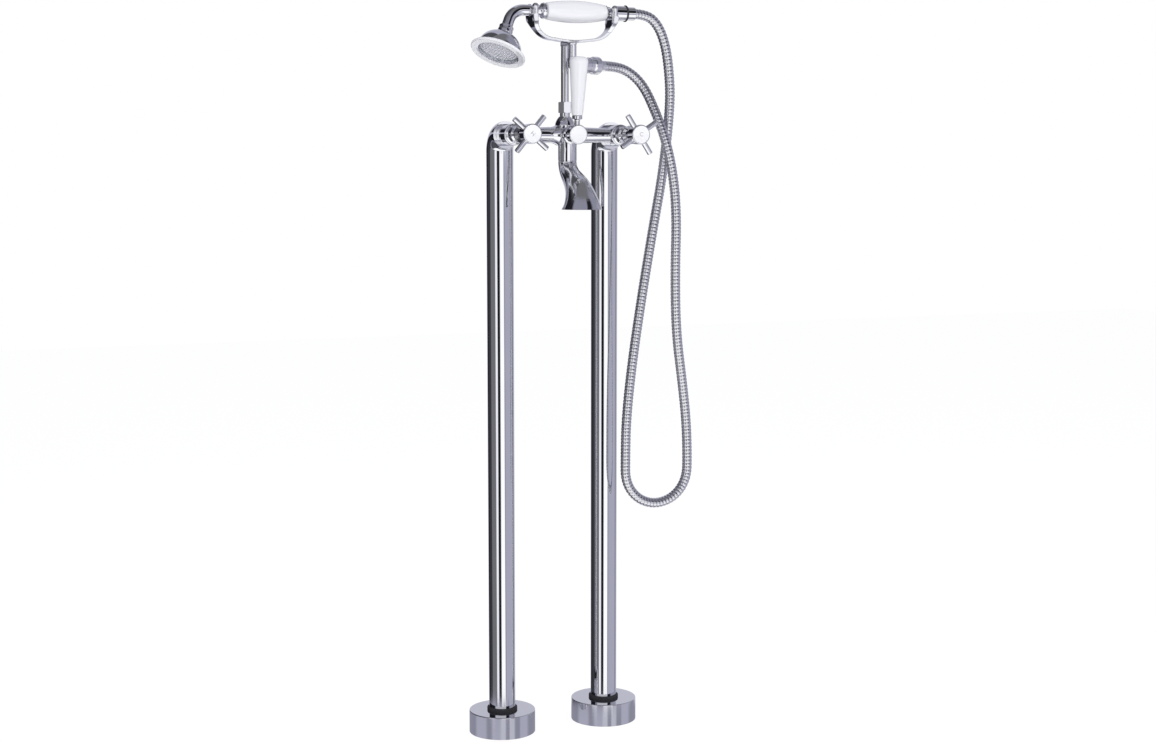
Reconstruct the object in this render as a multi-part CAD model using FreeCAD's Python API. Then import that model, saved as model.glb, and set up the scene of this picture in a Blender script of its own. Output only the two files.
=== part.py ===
import FreeCAD, Part
import math
import os
from FreeCAD import Placement, Rotation, Vector

# Floor standing bath filler: two legs carry a bath mixer with cross handles, a spout, a diverter
# lever and a hand shower in a cradle. Millimetres. The origin is on the floor, midway between the
# legs; X runs from the left leg to the right leg, the handles face -Y, and Z is up.

# ---------------------------------------------------------------- driving dimensions
INLET_CENTRES = 160.0      # between the two legs, and between the two valves
BAR_HEIGHT = 856.0         # floor to the axis of the bar, the valves and the elbows
BAR_FORWARD = 45.5         # the bar's axis in front of the legs' plane
SLIP = 0.1                 # radial clearance of pieces that slide together
TURN_GAP = 0.06            # radial clearance of a piece that turns in another
REST_GAP = 0.3             # between a lifted-off or turning piece and its seat

# legs
POST_OD = 38.0
POST_WALL = 1.5
PLATE_OD = 84.0
PLATE_THICK = 8.0
SOCKET_WALL = 3.8
SOCKET_HEIGHT = 20.0
SCREW_SQUARE = 46.0        # side of the square of floor screws under each leg
SCREW_HOLE = 7.0
FLANGE_OD = 95.0
FLANGE_HEIGHT = 32.0
FLANGE_WALL = 1.5
FLANGE_GAP = 0.5
FLANGE_EDGE = 1.2
COLLAR_SECTION = 2.7       # rubber ring between the flange cover and the post
COLLAR_HEIGHT = 4.5
PIPE_OD = 15.0
PIPE_WALL = 1.0
INLET_BORE = 18.63         # tapping size of a G1/2 female thread
INLET_DEPTH = 14.0
INLET_OD = 27.0
INLET_LENGTH = 20.0
INLET_FLANGE_OD = 33.0
INLET_FLANGE_THICK = 3.0
INLET_ABOVE_FLOOR = 0.5

# elbows
BEND_RADIUS = 23.0
ELBOW_LEG = 17.0           # straight length below the bend
ELBOW_STUB = 3.0           # straight length in front of the bend
SPIGOT_LENGTH = 14.0
WATERWAY = 13.0
PIPE_SOCKET_DEPTH = 18.0
UNION_SOCKET_DEPTH = 12.0
UNION_SOCKET_BORE = 20.8
SEAL_SECTION = 1.9
SEAL_INSET = 6.0           # seal's distance from the mouth of its socket

# unions between the elbows and the valves
UNION_COLLAR_OD = 25.6
UNION_TUBE_OD = 20.0
UNION_COLLAR_THICK = 4.0
UNION_LIP_THICK = 2.0
UNION_LENGTH = 12.0        # from the elbow's face to the washer
WASHER_THICK = 2.0
WASHER_BORE = 15.0
SHROUD_OD = 30.0
SHROUD_WALL = 1.8

# mixer body
BARREL_OD = 30.0
BARREL_LENGTH = 18.0
BARREL_EDGE = 1.5
CARTRIDGE_BORE = 21.0
CARTRIDGE_DEPTH = 12.0
ARM_ROOT_OD = 22.0
ARM_TIP_OD = 19.2
ARM_ROOT_X = 25.0
ARM_FLARE_X = 12.0
ARM_FLARE_OD = 29.0
ARM_WATERWAY = 10.0
CORE_OD = 28.0             # upright middle of the body, under the riser
CORE_TOP = 13.0            # top of its straight part above the bar's axis
BOSS_OD = 14.0             # boss that takes the riser
BOSS_TOP = 30.4
THROAT_OD = 25.8           # lower boss that takes the spout
THROAT_FORWARD = 54.5
THROAT_BOTTOM = -36.5
DIVERTER_BARREL_OD = 23.0
DIVERTER_SETBACK = 4.5     # from the cradle's plane back to the end of the diverter's barrel
DIVERTER_BORE = 18.0
DIVERTER_DEPTH = 14.0

# valves
BONNET_OD = 26.4
BONNET_LENGTH = 39.0
SPINDLE_OD = 7.0
SPINDLE_GRIP = 10.6        # length of the spindle inside the handle's hub
CARTRIDGE_FLANGE = 2.0
CARTRIDGE_NOSE = 8.0
CARTRIDGE_NOSE_OD = 17.6

# cross handles
HANDLE_GAP = 0.4           # between a bonnet and the handle in front of it
HUB_LENGTH = 28.6
HUB_OD = 26.8
HUB_NECK_OD = 17.0
SPOKE_SETBACK = 8.0        # from the hub's face to the spokes' plane
SPOKE_REACH = 31.2
SPOKE_OD = 7.6
SPOKE_CHAMFER = 0.6
DISC_OD = 23.4
DISC_THICK = 1.6
DISC_DOME = 0.35
SCREW_OD = 4.0
SCREW_HEAD_OD = 7.0
SCREW_HEAD_THICK = 2.8
LEFT_REST_TURN = 5.0       # degrees that each cross stands round from the diagonal
RIGHT_REST_TURN = -11.5

# diverter
DIVERTER_BONNET_LENGTH = 11.0
DIVERTER_HUB_LENGTH = 15.2
DIVERTER_HUB_OD = 26.8
DIVERTER_DISC_OD = 23.6
DIVERTER_SPINDLE_GRIP = 8.6
LEVER_FORWARD = 8.2        # from the back of the diverter's hub to the lever's axis

# spout
SPOUT_REACH = 51.0         # how far the mouth lies in front of the throat
SPOUT_DROP = 65.5
SPOUT_MOUTH_OD = 56.0
SPOUT_WALL = 2.2
SPOUT_RINGS = 36
SPOUT_SPIGOT = 11.5        # length of the spout's spigot in the body
SPOUT_SEAL_HEIGHT = 6.0

# diverter lever
LEVER_LEAN = 4.5           # degrees that the lever leans forward
LEVER_NECK_OD = 7.6
LEVER_NECK_END = 21.0      # distances along the lever from the hub's centre
LEVER_FERRULE_OD = 14.0
LEVER_START = 26.5
LEVER_WIDEST = 98.0
LEVER_END = 105.5
LEVER_ROOT_OD = 15.4
LEVER_HEAD_OD = 25.8
LEVER_CROWN_OD = 15.0
LEVER_BORE = 5.2
ROD_OD = 5.0
ROD_END = 94.0

# riser and cradle
RISER_OD = 11.0
RISER_WALL = 1.0
RISER_RISE = 122.0         # from the bar's axis to the top of the riser
RISER_SOCKET_DEPTH = 8.0
RISER_NUT_FLATS = 17.0
RISER_NUT_HEIGHT = 15.2
CRADLE_FORWARD = 72.5      # plane of the bow and of the handset's axis
LINK_HEIGHT = 6.0
LINK_WIDTH = 11.0
RISER_CAP_OD = 12.4
LINK_BORE = 3.6
STEM_OD = 11.2
STEM_BORE = 6.0
STEM_LIFT = 9.5            # from the outlet's axis up to the stem's end
STEM_FLARE = 5.0
BOW_HALF = 63.0            # half width over the bow's sides
BOW_RISE = 3.3             # from the riser's top up to the bow
BOW_MID_THICK = 3.4
BOW_END_THICK = 6.8
BOW_CORNER = 34.0
BOW_SAG = 2.5              # rise of the bow's flat part towards its corners
BOW_WIDTH = 14.0
FORK_BASE_DROP = 14.0      # heights below the handset's axis
FORK_TOP_DROP = 4.5
FORK_FLARE_DROP = 27.0
PRONG_OD = 8.0
PRONG_BALL_OD = 9.2
PRONG_BALL_LIFT = 5.0      # above the handset's axis

# hose outlet under the cradle
OUTLET_DROP = 26.5         # from the riser's top down to the outlet's axis
OUTLET_TURN = 15.0         # degrees that the outlet points back from straight right
OUTLET_BODY_OD = 13.0
OUTLET_RING_OD = 23.0
OUTLET_RING_START = 9.5    # distances along the outlet from the stem's axis
OUTLET_RING_END = 19.5
OUTLET_THREAD_OD = 20.6
OUTLET_THREAD_END = 34.0
OUTLET_BORE = 9.0
OUTLET_WASHER_THICK = 2.0
LOWER_NUT_START = 27.0
LOWER_NUT_BULGE = 34.0
LOWER_NUT_END = 46.5
LOWER_NUT_NECK_OD = 21.6
LOWER_NUT_OD = 24.4
LOWER_FERRULE_END = 56.0
FERRULE_OD = 14.3
FERRULE_LIP_THICK = 2.0
FERRULE_LIP_OD = 19.0

# handset, along +X from the middle of the cradle
HANDSET_RISE = 41.7        # from the bow up to the handset's axis
HANDSET_ROLL = 15.0        # degrees that the rose is rolled forward
GRIP_START = -39.2
GRIP_END = 48.6
GRIP_LEFT_OD = 23.0
GRIP_MID_OD = 30.2
GRIP_RIGHT_OD = 21.0
GRIP_TUBE_OD = 10.0
GRIP_TUBE_BORE = 7.6
COLLAR_START = -52.5
COLLAR_BULGE_OD = 22.0
NECK_OD = 14.0
NECK_END = 63.2            # both necks run out to here
NECK_START = 54.2
ARM_OD = 15.2
ARM_BORE = 10.0
ARM_BEND_START = 72.3
ARM_BEND = 24.0
ARM_TURN = 66.0            # degrees that the arm turns down
ARM_DROP = 10.0
ROSE_COLLAR_OD = 20.6
ROSE_COLLAR_LENGTH = 12.5
TAIL_CONE_OD = 20.0
TAIL_BARREL_OD = 20.5
TAIL_BARREL_END = 78.0
TAIL_THREAD_OD = 15.6
TAIL_THREAD_END = 88.0
TAIL_RING_OD = 22.6
TAIL_RING_END = 80.8
UPPER_NUT_OD = 17.8
UPPER_NUT_END = 93.4
ROSE_HEIGHT = 26.4         # from the collar to the rim
ROSE_OD = 61.0
ROSE_WALL = 1.3
RIM_OD = 76.0
RIM_HEIGHT = 4.0
RIM_ROUND = 1.7
PLATE_RECESS = 6.5         # from the rim's face to the rose plate
ROSE_PLATE_THICK = 1.8
ROSE_LINER_WALL = 1.2
SPRAY_HOLE = 1.7
SPRAY_RINGS = 4
SPRAY_PITCH = 5.8

# hose: its bore, ribs and route
HOSE_OD = 14.0
HOSE_RIB_DEPTH = 0.9
HOSE_BORE = 8.0
HOSE_RIBS = 196
HOSE_CUFF = 14.0           # plain straight end at each fitting
HOSE_LEAD = 25.0           # from each end of the hose to the first point of its route

# The route's points between its two leads, from the handset down and round to the outlet, as
# distances to the right of, behind and above the outlet's centre.
HOSE_POINTS = [
    (140, 0.5, 59), (152.5, 1.5, 37.5), (153, 2.5, -5.5), (152, 6.5, -66.5), (144, 9.5, -143.5),
    (128, 8.5, -223.5), (109, 5.5, -321.5), (92, 2.5, -421.5), (83, 0.5, -496.5), (82, 0.5, -549.5),
    (82, 0.5, -587), (100.5, -0.5, -612.5), (130, -0.5, -622), (159.5, -1.5, -612.5),
    (178, -2.5, -587), (178, -3.5, -549.5), (176, -3.5, -501.5), (169, -4.5, -446.5),
    (157, -7.5, -373.5), (154, -9.5, -286.5), (155, -11.5, -211.5), (150, -11.5, -154.5),
    (139, -9.5, -103.5), (127.5, 4.5, -60), (117.5, 17.5, -28.5), (101, 22, -10),
]

LEFT = -INLET_CENTRES / 2
RIGHT = INLET_CENTRES / 2
FORWARD = Vector(0, -1, 0)
UP = Vector(0, 0, 1)
DOWN = Vector(0, 0, -1)
ACROSS = Vector(1, 0, 0)

ELBOW_FACE = BEND_RADIUS + ELBOW_STUB
POST_TOP = BAR_HEIGHT - BEND_RADIUS - ELBOW_LEG
WASHER_START = ELBOW_FACE + UNION_LENGTH
BARREL_START = WASHER_START + WASHER_THICK
BARREL_END = BARREL_START + BARREL_LENGTH
BONNET_END = BARREL_END + BONNET_LENGTH
HUB_START = BONNET_END + HANDLE_GAP
HUB_FACE = HUB_START + HUB_LENGTH
SPINDLE_END = HUB_START + SPINDLE_GRIP
DIVERTER_BARREL_END = CRADLE_FORWARD - DIVERTER_SETBACK
DIVERTER_BONNET_END = DIVERTER_BARREL_END + DIVERTER_BONNET_LENGTH
DIVERTER_HUB_START = DIVERTER_BONNET_END + HANDLE_GAP
DIVERTER_HUB_FACE = DIVERTER_HUB_START + DIVERTER_HUB_LENGTH
DIVERTER_SPINDLE_END = DIVERTER_HUB_START + DIVERTER_SPINDLE_GRIP
THROAT_BORE = 2 * 10.5
RISER_TOP = BAR_HEIGHT + RISER_RISE
OUTLET_HEIGHT = RISER_TOP - OUTLET_DROP
STEM_BOTTOM = OUTLET_HEIGHT + STEM_LIFT
BOW_BOTTOM = RISER_TOP + BOW_RISE
HANDSET_HEIGHT = BOW_BOTTOM + HANDSET_RISE
FORK_BASE = HANDSET_HEIGHT - FORK_BASE_DROP
FORK_TOP = HANDSET_HEIGHT - FORK_TOP_DROP
FORK_FLARE_START = HANDSET_HEIGHT - FORK_FLARE_DROP
PRONG_BALL_HEIGHT = HANDSET_HEIGHT + PRONG_BALL_LIFT
RISER_FOOT = BAR_HEIGHT + BOSS_TOP - RISER_SOCKET_DEPTH
RISER_NUT_TOP = BAR_HEIGHT + BOSS_TOP + RISER_NUT_HEIGHT
PRONG_OFFSET = NECK_OD / 2 + REST_GAP + PRONG_OD / 2
SADDLE_X = (NECK_START + NECK_END) / 2
LOWER_LIP_START = OUTLET_THREAD_END + OUTLET_WASHER_THICK
LOWER_LIP_END = LOWER_LIP_START + FERRULE_LIP_THICK


# ---------------------------------------------------------------- shapes
def placed(shape, base, axis):
    """Move a shape made along +Z from the origin to its base and axis."""
    shape.Placement = Placement(base, Rotation(UP, axis))
    return shape


def turned(outline, base, axis):
    """A turned solid. The outline holds (along, radius) points; a (via, end) pair is an arc."""
    def point(pair):
        return Vector(pair[1], 0, pair[0])
    start = last = point(outline[0])
    edges = []
    for item in outline[1:]:
        if isinstance(item[0], tuple):
            end = point(item[1])
            edges.append(Part.Arc(last, point(item[0]), end).toShape())
        else:
            end = point(item)
            edges.append(Part.makeLine(last, end))
        last = end
    foot, head = Vector(0, 0, start.z), Vector(0, 0, last.z)
    if last.x > 0:
        edges.append(Part.makeLine(last, head))
    edges.append(Part.makeLine(head, foot))
    if start.x > 0:
        edges.append(Part.makeLine(foot, start))
    solid = Part.Face(Part.Wire(edges)).revolve(Vector(0, 0, 0), UP, 360)
    return placed(solid, base, axis)


def dome(along, radius, height):
    """The arc of a round dome that rises from a radius to the axis, as an item of an outline."""
    sphere = (radius ** 2 + height ** 2) / (2 * height)
    halfway = math.sqrt(sphere ** 2 - radius ** 2 / 4) - sphere + height
    return (along + halfway, radius / 2), (along + height, 0)


def rod(diameter, start, end, base, axis):
    """A round bar between two distances along an axis from its base."""
    direction = Vector(axis).normalize()
    return Part.makeCylinder(diameter / 2, end - start, base + direction * start, direction)


def tube(outside, inside, start, end, base, axis):
    return rod(outside, start, end, base, axis).cut(rod(inside, start, end, base, axis))


def ring_seal(inside, section, height, base, axis):
    """An O-ring of round section, lying round an axis."""
    ring = Part.makeTorus(inside / 2 + section / 2, section / 2)
    return placed(ring, base + Vector(axis).normalize() * height, axis)


def hexagon(flats, start, end, base, axis):
    """A hexagonal bar with its corners turned off at both ends."""
    corner = flats / math.sqrt(3)
    corners = [Vector(corner * math.cos(math.radians(60 * k)), corner * math.sin(math.radians(60 * k)), start)
               for k in range(6)]
    prism = Part.Face(Part.makePolygon(corners + corners[:1])).extrude(UP * (end - start))
    slope = (corner - flats / 2) * 0.6
    barrel = turned([(start, flats / 2), (start + slope, corner), (end - slope, corner), (end, flats / 2)],
                    Vector(0, 0, 0), UP)
    return placed(prism.common(barrel), base, axis)


def steady_circle(radius, centre, direction):
    """A circle square to a direction, its start kept in the level plane so that lofts don't twist."""
    sideways = Vector(0, 1, 0).cross(direction).normalize()
    circle = Part.Circle(centre, direction, radius)
    circle.XAxis = sideways
    return Part.Wire([circle.toShape()])


def swept(diameter, path):
    """A round bar along a wire of lines and tangent arcs."""
    start = path.Edges[0]
    tangent = start.tangentAt(start.FirstParameter)
    profile = Part.Wire([Part.makeCircle(diameter / 2, start.valueAt(start.FirstParameter), tangent)])
    return path.makePipeShell([profile], True, False)


def valve_centre(x):
    """The point where a valve's axis meets the legs' plane."""
    return Vector(x, 0, BAR_HEIGHT)


# ---------------------------------------------------------------- legs
def floor_plate(x):
    """Cast plate with a socket for the post, a hole for the supply pipe and four floor screw holes."""
    base = Vector(x, 0, 0)
    socket_od = POST_OD + 2 * SOCKET_WALL
    top = PLATE_THICK + SOCKET_HEIGHT
    plate = turned([(0, PLATE_OD / 2), (PLATE_THICK - 1, PLATE_OD / 2), (PLATE_THICK, PLATE_OD / 2 - 1),
                    (PLATE_THICK, socket_od / 2), (top, socket_od / 2)], base, UP)
    plate = plate.cut(rod(POST_OD + 2 * SLIP, PLATE_THICK, top, base, UP))
    plate = plate.cut(rod(INLET_OD + 2 * SLIP, 0, PLATE_THICK, base, UP))
    for dx in (-1, 1):
        for dy in (-1, 1):
            at = base + Vector(dx * SCREW_SQUARE / 2, dy * SCREW_SQUARE / 2, 0)
            plate = plate.cut(rod(SCREW_HOLE, 0, PLATE_THICK, at, UP))
    return plate


def flange_cover(x):
    """Round cover, open below, that hides the plate and its screws."""
    base = Vector(x, 0, 0)
    outside = FLANGE_OD / 2
    cover = turned([(0, outside), (FLANGE_HEIGHT - FLANGE_EDGE, outside),
                    ((FLANGE_HEIGHT - 0.3 * FLANGE_EDGE, outside - 0.3 * FLANGE_EDGE),
                     (FLANGE_HEIGHT, outside - FLANGE_EDGE))], base, UP)
    hollow = rod(FLANGE_OD - 2 * FLANGE_WALL, 0, FLANGE_HEIGHT - FLANGE_WALL, base, UP)
    hole = rod(POST_OD + 2 * FLANGE_GAP, 0, FLANGE_HEIGHT, base, UP)
    return cover.cut(hollow).cut(hole)


def collar_ring(x):
    """Rubber ring round the post, lying on the cover."""
    base = Vector(x, 0, FLANGE_HEIGHT)
    outside = POST_OD / 2 + COLLAR_SECTION
    round_off = COLLAR_HEIGHT * 0.35
    ring = turned([(0, outside), (COLLAR_HEIGHT - round_off, outside),
                   ((COLLAR_HEIGHT - 0.3 * round_off, outside - 0.3 * round_off),
                    (COLLAR_HEIGHT, outside - round_off))], base, UP)
    return ring.cut(rod(POST_OD + SLIP, 0, COLLAR_HEIGHT, base, UP))


def post(x):
    return tube(POST_OD, POST_OD - 2 * POST_WALL, PLATE_THICK, POST_TOP, Vector(x, 0, 0), UP)


def supply_pipe(x):
    """Copper pipe inside the post, with a female socket for the floor supply at its foot."""
    base = Vector(x, 0, 0)
    foot = INLET_ABOVE_FLOOR
    flange_top = PLATE_THICK + INLET_FLANGE_THICK
    socket_top = foot + INLET_LENGTH
    top = POST_TOP - SPIGOT_LENGTH + PIPE_SOCKET_DEPTH - 1
    pipe = turned([(foot, INLET_OD / 2), (PLATE_THICK, INLET_OD / 2), (PLATE_THICK, INLET_FLANGE_OD / 2),
                   (flange_top, INLET_FLANGE_OD / 2), (flange_top, INLET_OD / 2), (socket_top, INLET_OD / 2),
                   (socket_top + 4, PIPE_OD / 2), (top, PIPE_OD / 2)], base, UP)
    pipe = pipe.cut(rod(INLET_BORE, foot, foot + INLET_DEPTH, base, UP))
    return pipe.cut(rod(PIPE_OD - 2 * PIPE_WALL, foot, top, base, UP))


def elbow_path(x, below):
    """The elbow's centre line, from a height below the bend to its front face."""
    bend_z = BAR_HEIGHT - BEND_RADIUS
    corner = BEND_RADIUS * (1 - math.cos(math.radians(45)))
    foot = Vector(x, 0, bend_z - below)
    start = Vector(x, 0, bend_z)
    middle = Vector(x, -corner, BAR_HEIGHT - corner)
    end = Vector(x, -BEND_RADIUS, BAR_HEIGHT)
    face = Vector(x, -ELBOW_FACE, BAR_HEIGHT)
    return Part.Wire([Part.makeLine(foot, start), Part.Arc(start, middle, end).toShape(),
                      Part.makeLine(end, face)])


def elbow(x):
    """Elbow that caps the post, with a spigot in the post and sockets for the pipe and the union."""
    base = Vector(x, 0, 0)
    foot = POST_TOP - SPIGOT_LENGTH
    body = swept(POST_OD, elbow_path(x, ELBOW_LEG))
    spigot_od = POST_OD - 2 * POST_WALL - 2 * SLIP
    body = body.fuse(rod(spigot_od, foot, POST_TOP + 1, base, UP))
    body = body.cut(swept(WATERWAY, elbow_path(x, ELBOW_LEG + SPIGOT_LENGTH)))
    body = body.cut(rod(PIPE_OD + 2 * SLIP, foot, foot + PIPE_SOCKET_DEPTH, base, UP))
    groove_od = PIPE_OD + 2 * SEAL_SECTION + 2 * SLIP
    seal_z = foot + SEAL_INSET
    body = body.cut(rod(groove_od, seal_z - 0.6 * SEAL_SECTION, seal_z + 0.6 * SEAL_SECTION, base, UP))
    socket = rod(UNION_SOCKET_BORE, ELBOW_FACE - UNION_SOCKET_DEPTH, ELBOW_FACE, valve_centre(x), FORWARD)
    return body.cut(socket).removeSplitter()


def pipe_seals():
    """The O-rings between the two supply pipes and their elbows."""
    height = POST_TOP - SPIGOT_LENGTH + SEAL_INSET
    return Part.makeCompound([ring_seal(PIPE_OD + SLIP, SEAL_SECTION, height, Vector(x, 0, 0), UP)
                              for x in (LEFT, RIGHT)])


# ---------------------------------------------------------------- unions
def union(x):
    """Tube with a threaded tail in the elbow, a collar and a lip that carries the washer."""
    base = valve_centre(x)
    tail = ELBOW_FACE - UNION_SOCKET_DEPTH + 0.5
    tail_r = UNION_SOCKET_BORE / 2 - SLIP
    collar_end = ELBOW_FACE + UNION_COLLAR_THICK
    lip = WASHER_START - UNION_LIP_THICK
    body = turned([(tail, tail_r - 0.8), (tail + 0.8, tail_r), (ELBOW_FACE, tail_r),
                   (ELBOW_FACE, UNION_COLLAR_OD / 2), (collar_end, UNION_COLLAR_OD / 2),
                   (collar_end, UNION_TUBE_OD / 2), (lip, UNION_TUBE_OD / 2), (lip, UNION_COLLAR_OD / 2),
                   (WASHER_START, UNION_COLLAR_OD / 2)], base, FORWARD)
    return body.cut(rod(WATERWAY, tail, WASHER_START, base, FORWARD))


def union_shroud(x):
    """Plain sleeve that covers the union between the elbow and the valve."""
    base = valve_centre(x)
    outside = SHROUD_OD / 2
    edge = 0.8
    sleeve = turned([(ELBOW_FACE, outside - edge), (ELBOW_FACE + edge, outside), (BARREL_START - edge, outside),
                     (BARREL_START, outside - edge)], base, FORWARD)
    return sleeve.cut(rod(SHROUD_OD - 2 * SHROUD_WALL, ELBOW_FACE, BARREL_START, base, FORWARD))


def union_washers():
    return Part.makeCompound([tube(UNION_COLLAR_OD, WASHER_BORE, WASHER_START, BARREL_START,
                                   valve_centre(x), FORWARD) for x in (LEFT, RIGHT)])


# ---------------------------------------------------------------- mixer body
def valve_barrel(x):
    outside = BARREL_OD / 2
    return turned([(BARREL_START, outside - 0.8), (BARREL_START + 0.8, outside),
                   (BARREL_END - BARREL_EDGE, outside),
                   ((BARREL_END - 0.3 * BARREL_EDGE, outside - 0.3 * BARREL_EDGE),
                    (BARREL_END, outside - BARREL_EDGE))], valve_centre(x), FORWARD)


def body_arms(core):
    """The two arms of the bar, flared where they leave the upright core."""
    end = INLET_CENTRES / 2 - CARTRIDGE_BORE / 2 - 1
    flare = (0.6 * ARM_FLARE_X + 0.4 * ARM_ROOT_X, 0.27 * ARM_FLARE_OD / 2 + 0.73 * ARM_ROOT_OD / 2)
    outline = [(0, ARM_FLARE_OD / 2), (ARM_FLARE_X, ARM_FLARE_OD / 2), (flare, (ARM_ROOT_X, ARM_ROOT_OD / 2)),
               (end, ARM_TIP_OD / 2)]
    return [turned(outline, core, ACROSS), turned(outline, core, -ACROSS)]


def body_core(core):
    """The upright middle: a dome with the riser's boss on top."""
    r, neck = CORE_OD / 2, BOSS_OD / 2
    dome_top = BOSS_TOP - 5
    return turned([(-CORE_TOP, r), (CORE_TOP, r), ((0.45 * CORE_TOP + 0.55 * dome_top, 0.86 * r),
                                                   (dome_top, neck + 1.2)),
                   (dome_top, neck), (BOSS_TOP, neck)], core, UP)


def mixer_body():
    """One casting: valve barrels, bar, upright core, diverter barrel and the spout's throat."""
    core = Vector(0, -BAR_FORWARD, BAR_HEIGHT)
    middle = Vector(0, 0, BAR_HEIGHT)
    throat = Vector(0, -THROAT_FORWARD, BAR_HEIGHT)
    throat_r = THROAT_OD / 2
    solids = [valve_barrel(LEFT), valve_barrel(RIGHT)] + body_arms(core)
    solids.append(rod(DIVERTER_BARREL_OD, BAR_FORWARD, DIVERTER_BARREL_END, middle, FORWARD))
    solids.append(turned([(0, throat_r), (-THROAT_BOTTOM - 1, throat_r), (-THROAT_BOTTOM, throat_r - 1)],
                         throat, DOWN))
    body = body_core(core).multiFuse(solids)
    bores = []
    for x in (LEFT, RIGHT):
        base = valve_centre(x)
        bores.append(rod(SHROUD_OD + 2 * REST_GAP, ELBOW_FACE, BARREL_START, base, FORWARD))
        bores.append(rod(WATERWAY, BARREL_START, BARREL_END, base, FORWARD))
        bores.append(rod(CARTRIDGE_BORE, BARREL_END - CARTRIDGE_DEPTH, BARREL_END, base, FORWARD))
    reach = INLET_CENTRES / 2 - WATERWAY / 4
    bores.append(rod(ARM_WATERWAY, -reach, reach, core, ACROSS))
    bores.append(rod(DIVERTER_BORE, DIVERTER_BARREL_END - DIVERTER_DEPTH, DIVERTER_BARREL_END, middle, FORWARD))
    bores.append(rod(RISER_OD - 2 * RISER_WALL, 0, BOSS_TOP, core, UP))
    bores.append(rod(RISER_OD + 2 * SLIP, BOSS_TOP - RISER_SOCKET_DEPTH, BOSS_TOP, core, UP))
    bores.append(rod(WATERWAY, 0, -THROAT_BOTTOM, throat, DOWN))
    bores.append(rod(THROAT_BORE, -THROAT_BOTTOM - 13, -THROAT_BOTTOM, throat, DOWN))
    return body.cut(bores).removeSplitter()


# ---------------------------------------------------------------- valves
def cartridge(x):
    """Ceramic disc cartridge: a flanged body in the barrel with a bore for the spindle."""
    base = valve_centre(x)
    start = BARREL_END - CARTRIDGE_DEPTH + REST_GAP
    nose = BARREL_END + CARTRIDGE_NOSE
    r = CARTRIDGE_BORE / 2 - SLIP
    body = turned([(start, r - 0.6), (start + 0.6, r), (BARREL_END + CARTRIDGE_FLANGE, r),
                   (BARREL_END + CARTRIDGE_FLANGE, CARTRIDGE_NOSE_OD / 2), (nose, CARTRIDGE_NOSE_OD / 2)],
                  base, FORWARD)
    body = body.cut(rod(SPINDLE_OD + 2 * TURN_GAP, start + 6, nose, base, FORWARD))
    return body.cut(rod(SPINDLE_OD * 0.6, start, start + 6, base, FORWARD))


def bonnet(x):
    """Turned cover over the cartridge, with a waist and two beads, that the spindle runs through."""
    base = valve_centre(x)

    def spot(along, radius):
        return BARREL_END + along * BONNET_LENGTH, radius * BONNET_OD / 2

    body = turned([spot(0, 1), spot(0.082, 1), spot(0.113, 0.864), (spot(0.218, 0.76), spot(0.333, 0.803)),
                   (spot(0.372, 0.879), spot(0.41, 0.803)), spot(0.462, 0.667),
                   (spot(0.59, 0.621), spot(0.718, 0.727)), spot(0.756, 0.924),
                   (spot(0.8, 0.977), spot(0.846, 0.924)), spot(0.936, 0.727), spot(1, 0.636)],
                  base, FORWARD)
    flange_end = BARREL_END + CARTRIDGE_FLANGE
    body = body.cut(rod(CARTRIDGE_BORE, BARREL_END, flange_end, base, FORWARD))
    body = body.cut(rod(CARTRIDGE_NOSE_OD + 2 * SLIP, flange_end, BARREL_END + CARTRIDGE_NOSE, base, FORWARD))
    return body.cut(rod(SPINDLE_OD + 2 * TURN_GAP, BARREL_END, BONNET_END, base, FORWARD))


def spindle(x):
    """Valve spindle with a hole for the handle screw in its end."""
    base = valve_centre(x)
    start = BARREL_END - CARTRIDGE_DEPTH + REST_GAP + 6.5
    shaft = turned([(start, SPINDLE_OD / 2), (SPINDLE_END - 0.6, SPINDLE_OD / 2),
                    (SPINDLE_END, SPINDLE_OD / 2 - 0.6)], base, FORWARD)
    return shaft.cut(rod(SCREW_OD, SPINDLE_END - 7, SPINDLE_END, base, FORWARD))


def index_seat(face):
    return face - DISC_THICK


def cross_handle(x, rest_turn):
    """Bell shaped hub with four round spokes and a shallow seat for its disc."""
    base = valve_centre(x)
    neck, outside, seat = HUB_NECK_OD / 2, HUB_OD / 2, index_seat(HUB_FACE)
    hub = turned([(HUB_START, neck), (HUB_START + 3, neck), ((HUB_START + 9, neck + 1.5), (HUB_START + 13, outside)),
                  (HUB_FACE - 1.2, outside), ((HUB_FACE - 0.35, outside - 0.35), (HUB_FACE, outside - 1.2))],
                 base, FORWARD)
    centre = base + FORWARD * (HUB_FACE - SPOKE_SETBACK)
    spokes = []
    for quarter in range(4):
        angle = math.radians(45 + rest_turn + 90 * quarter)
        direction = Vector(math.cos(angle), 0, math.sin(angle))
        spokes.append(turned([(0, SPOKE_OD / 2), (SPOKE_REACH - SPOKE_CHAMFER, SPOKE_OD / 2),
                              (SPOKE_REACH, SPOKE_OD / 2 - SPOKE_CHAMFER)], centre, direction))
    hub = hub.multiFuse(spokes)
    hub = hub.cut(rod(DISC_OD + 2 * SLIP, seat, HUB_FACE, base, FORWARD))
    hub = hub.cut(rod(SCREW_HEAD_OD + 2, SPINDLE_END + 4, seat, base, FORWARD))
    hub = hub.cut(rod(SCREW_OD + 2 * SLIP, HUB_START, SPINDLE_END + 4, base, FORWARD))
    return hub.cut(rod(SPINDLE_OD, HUB_START, SPINDLE_END, base, FORWARD)).removeSplitter()


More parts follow.
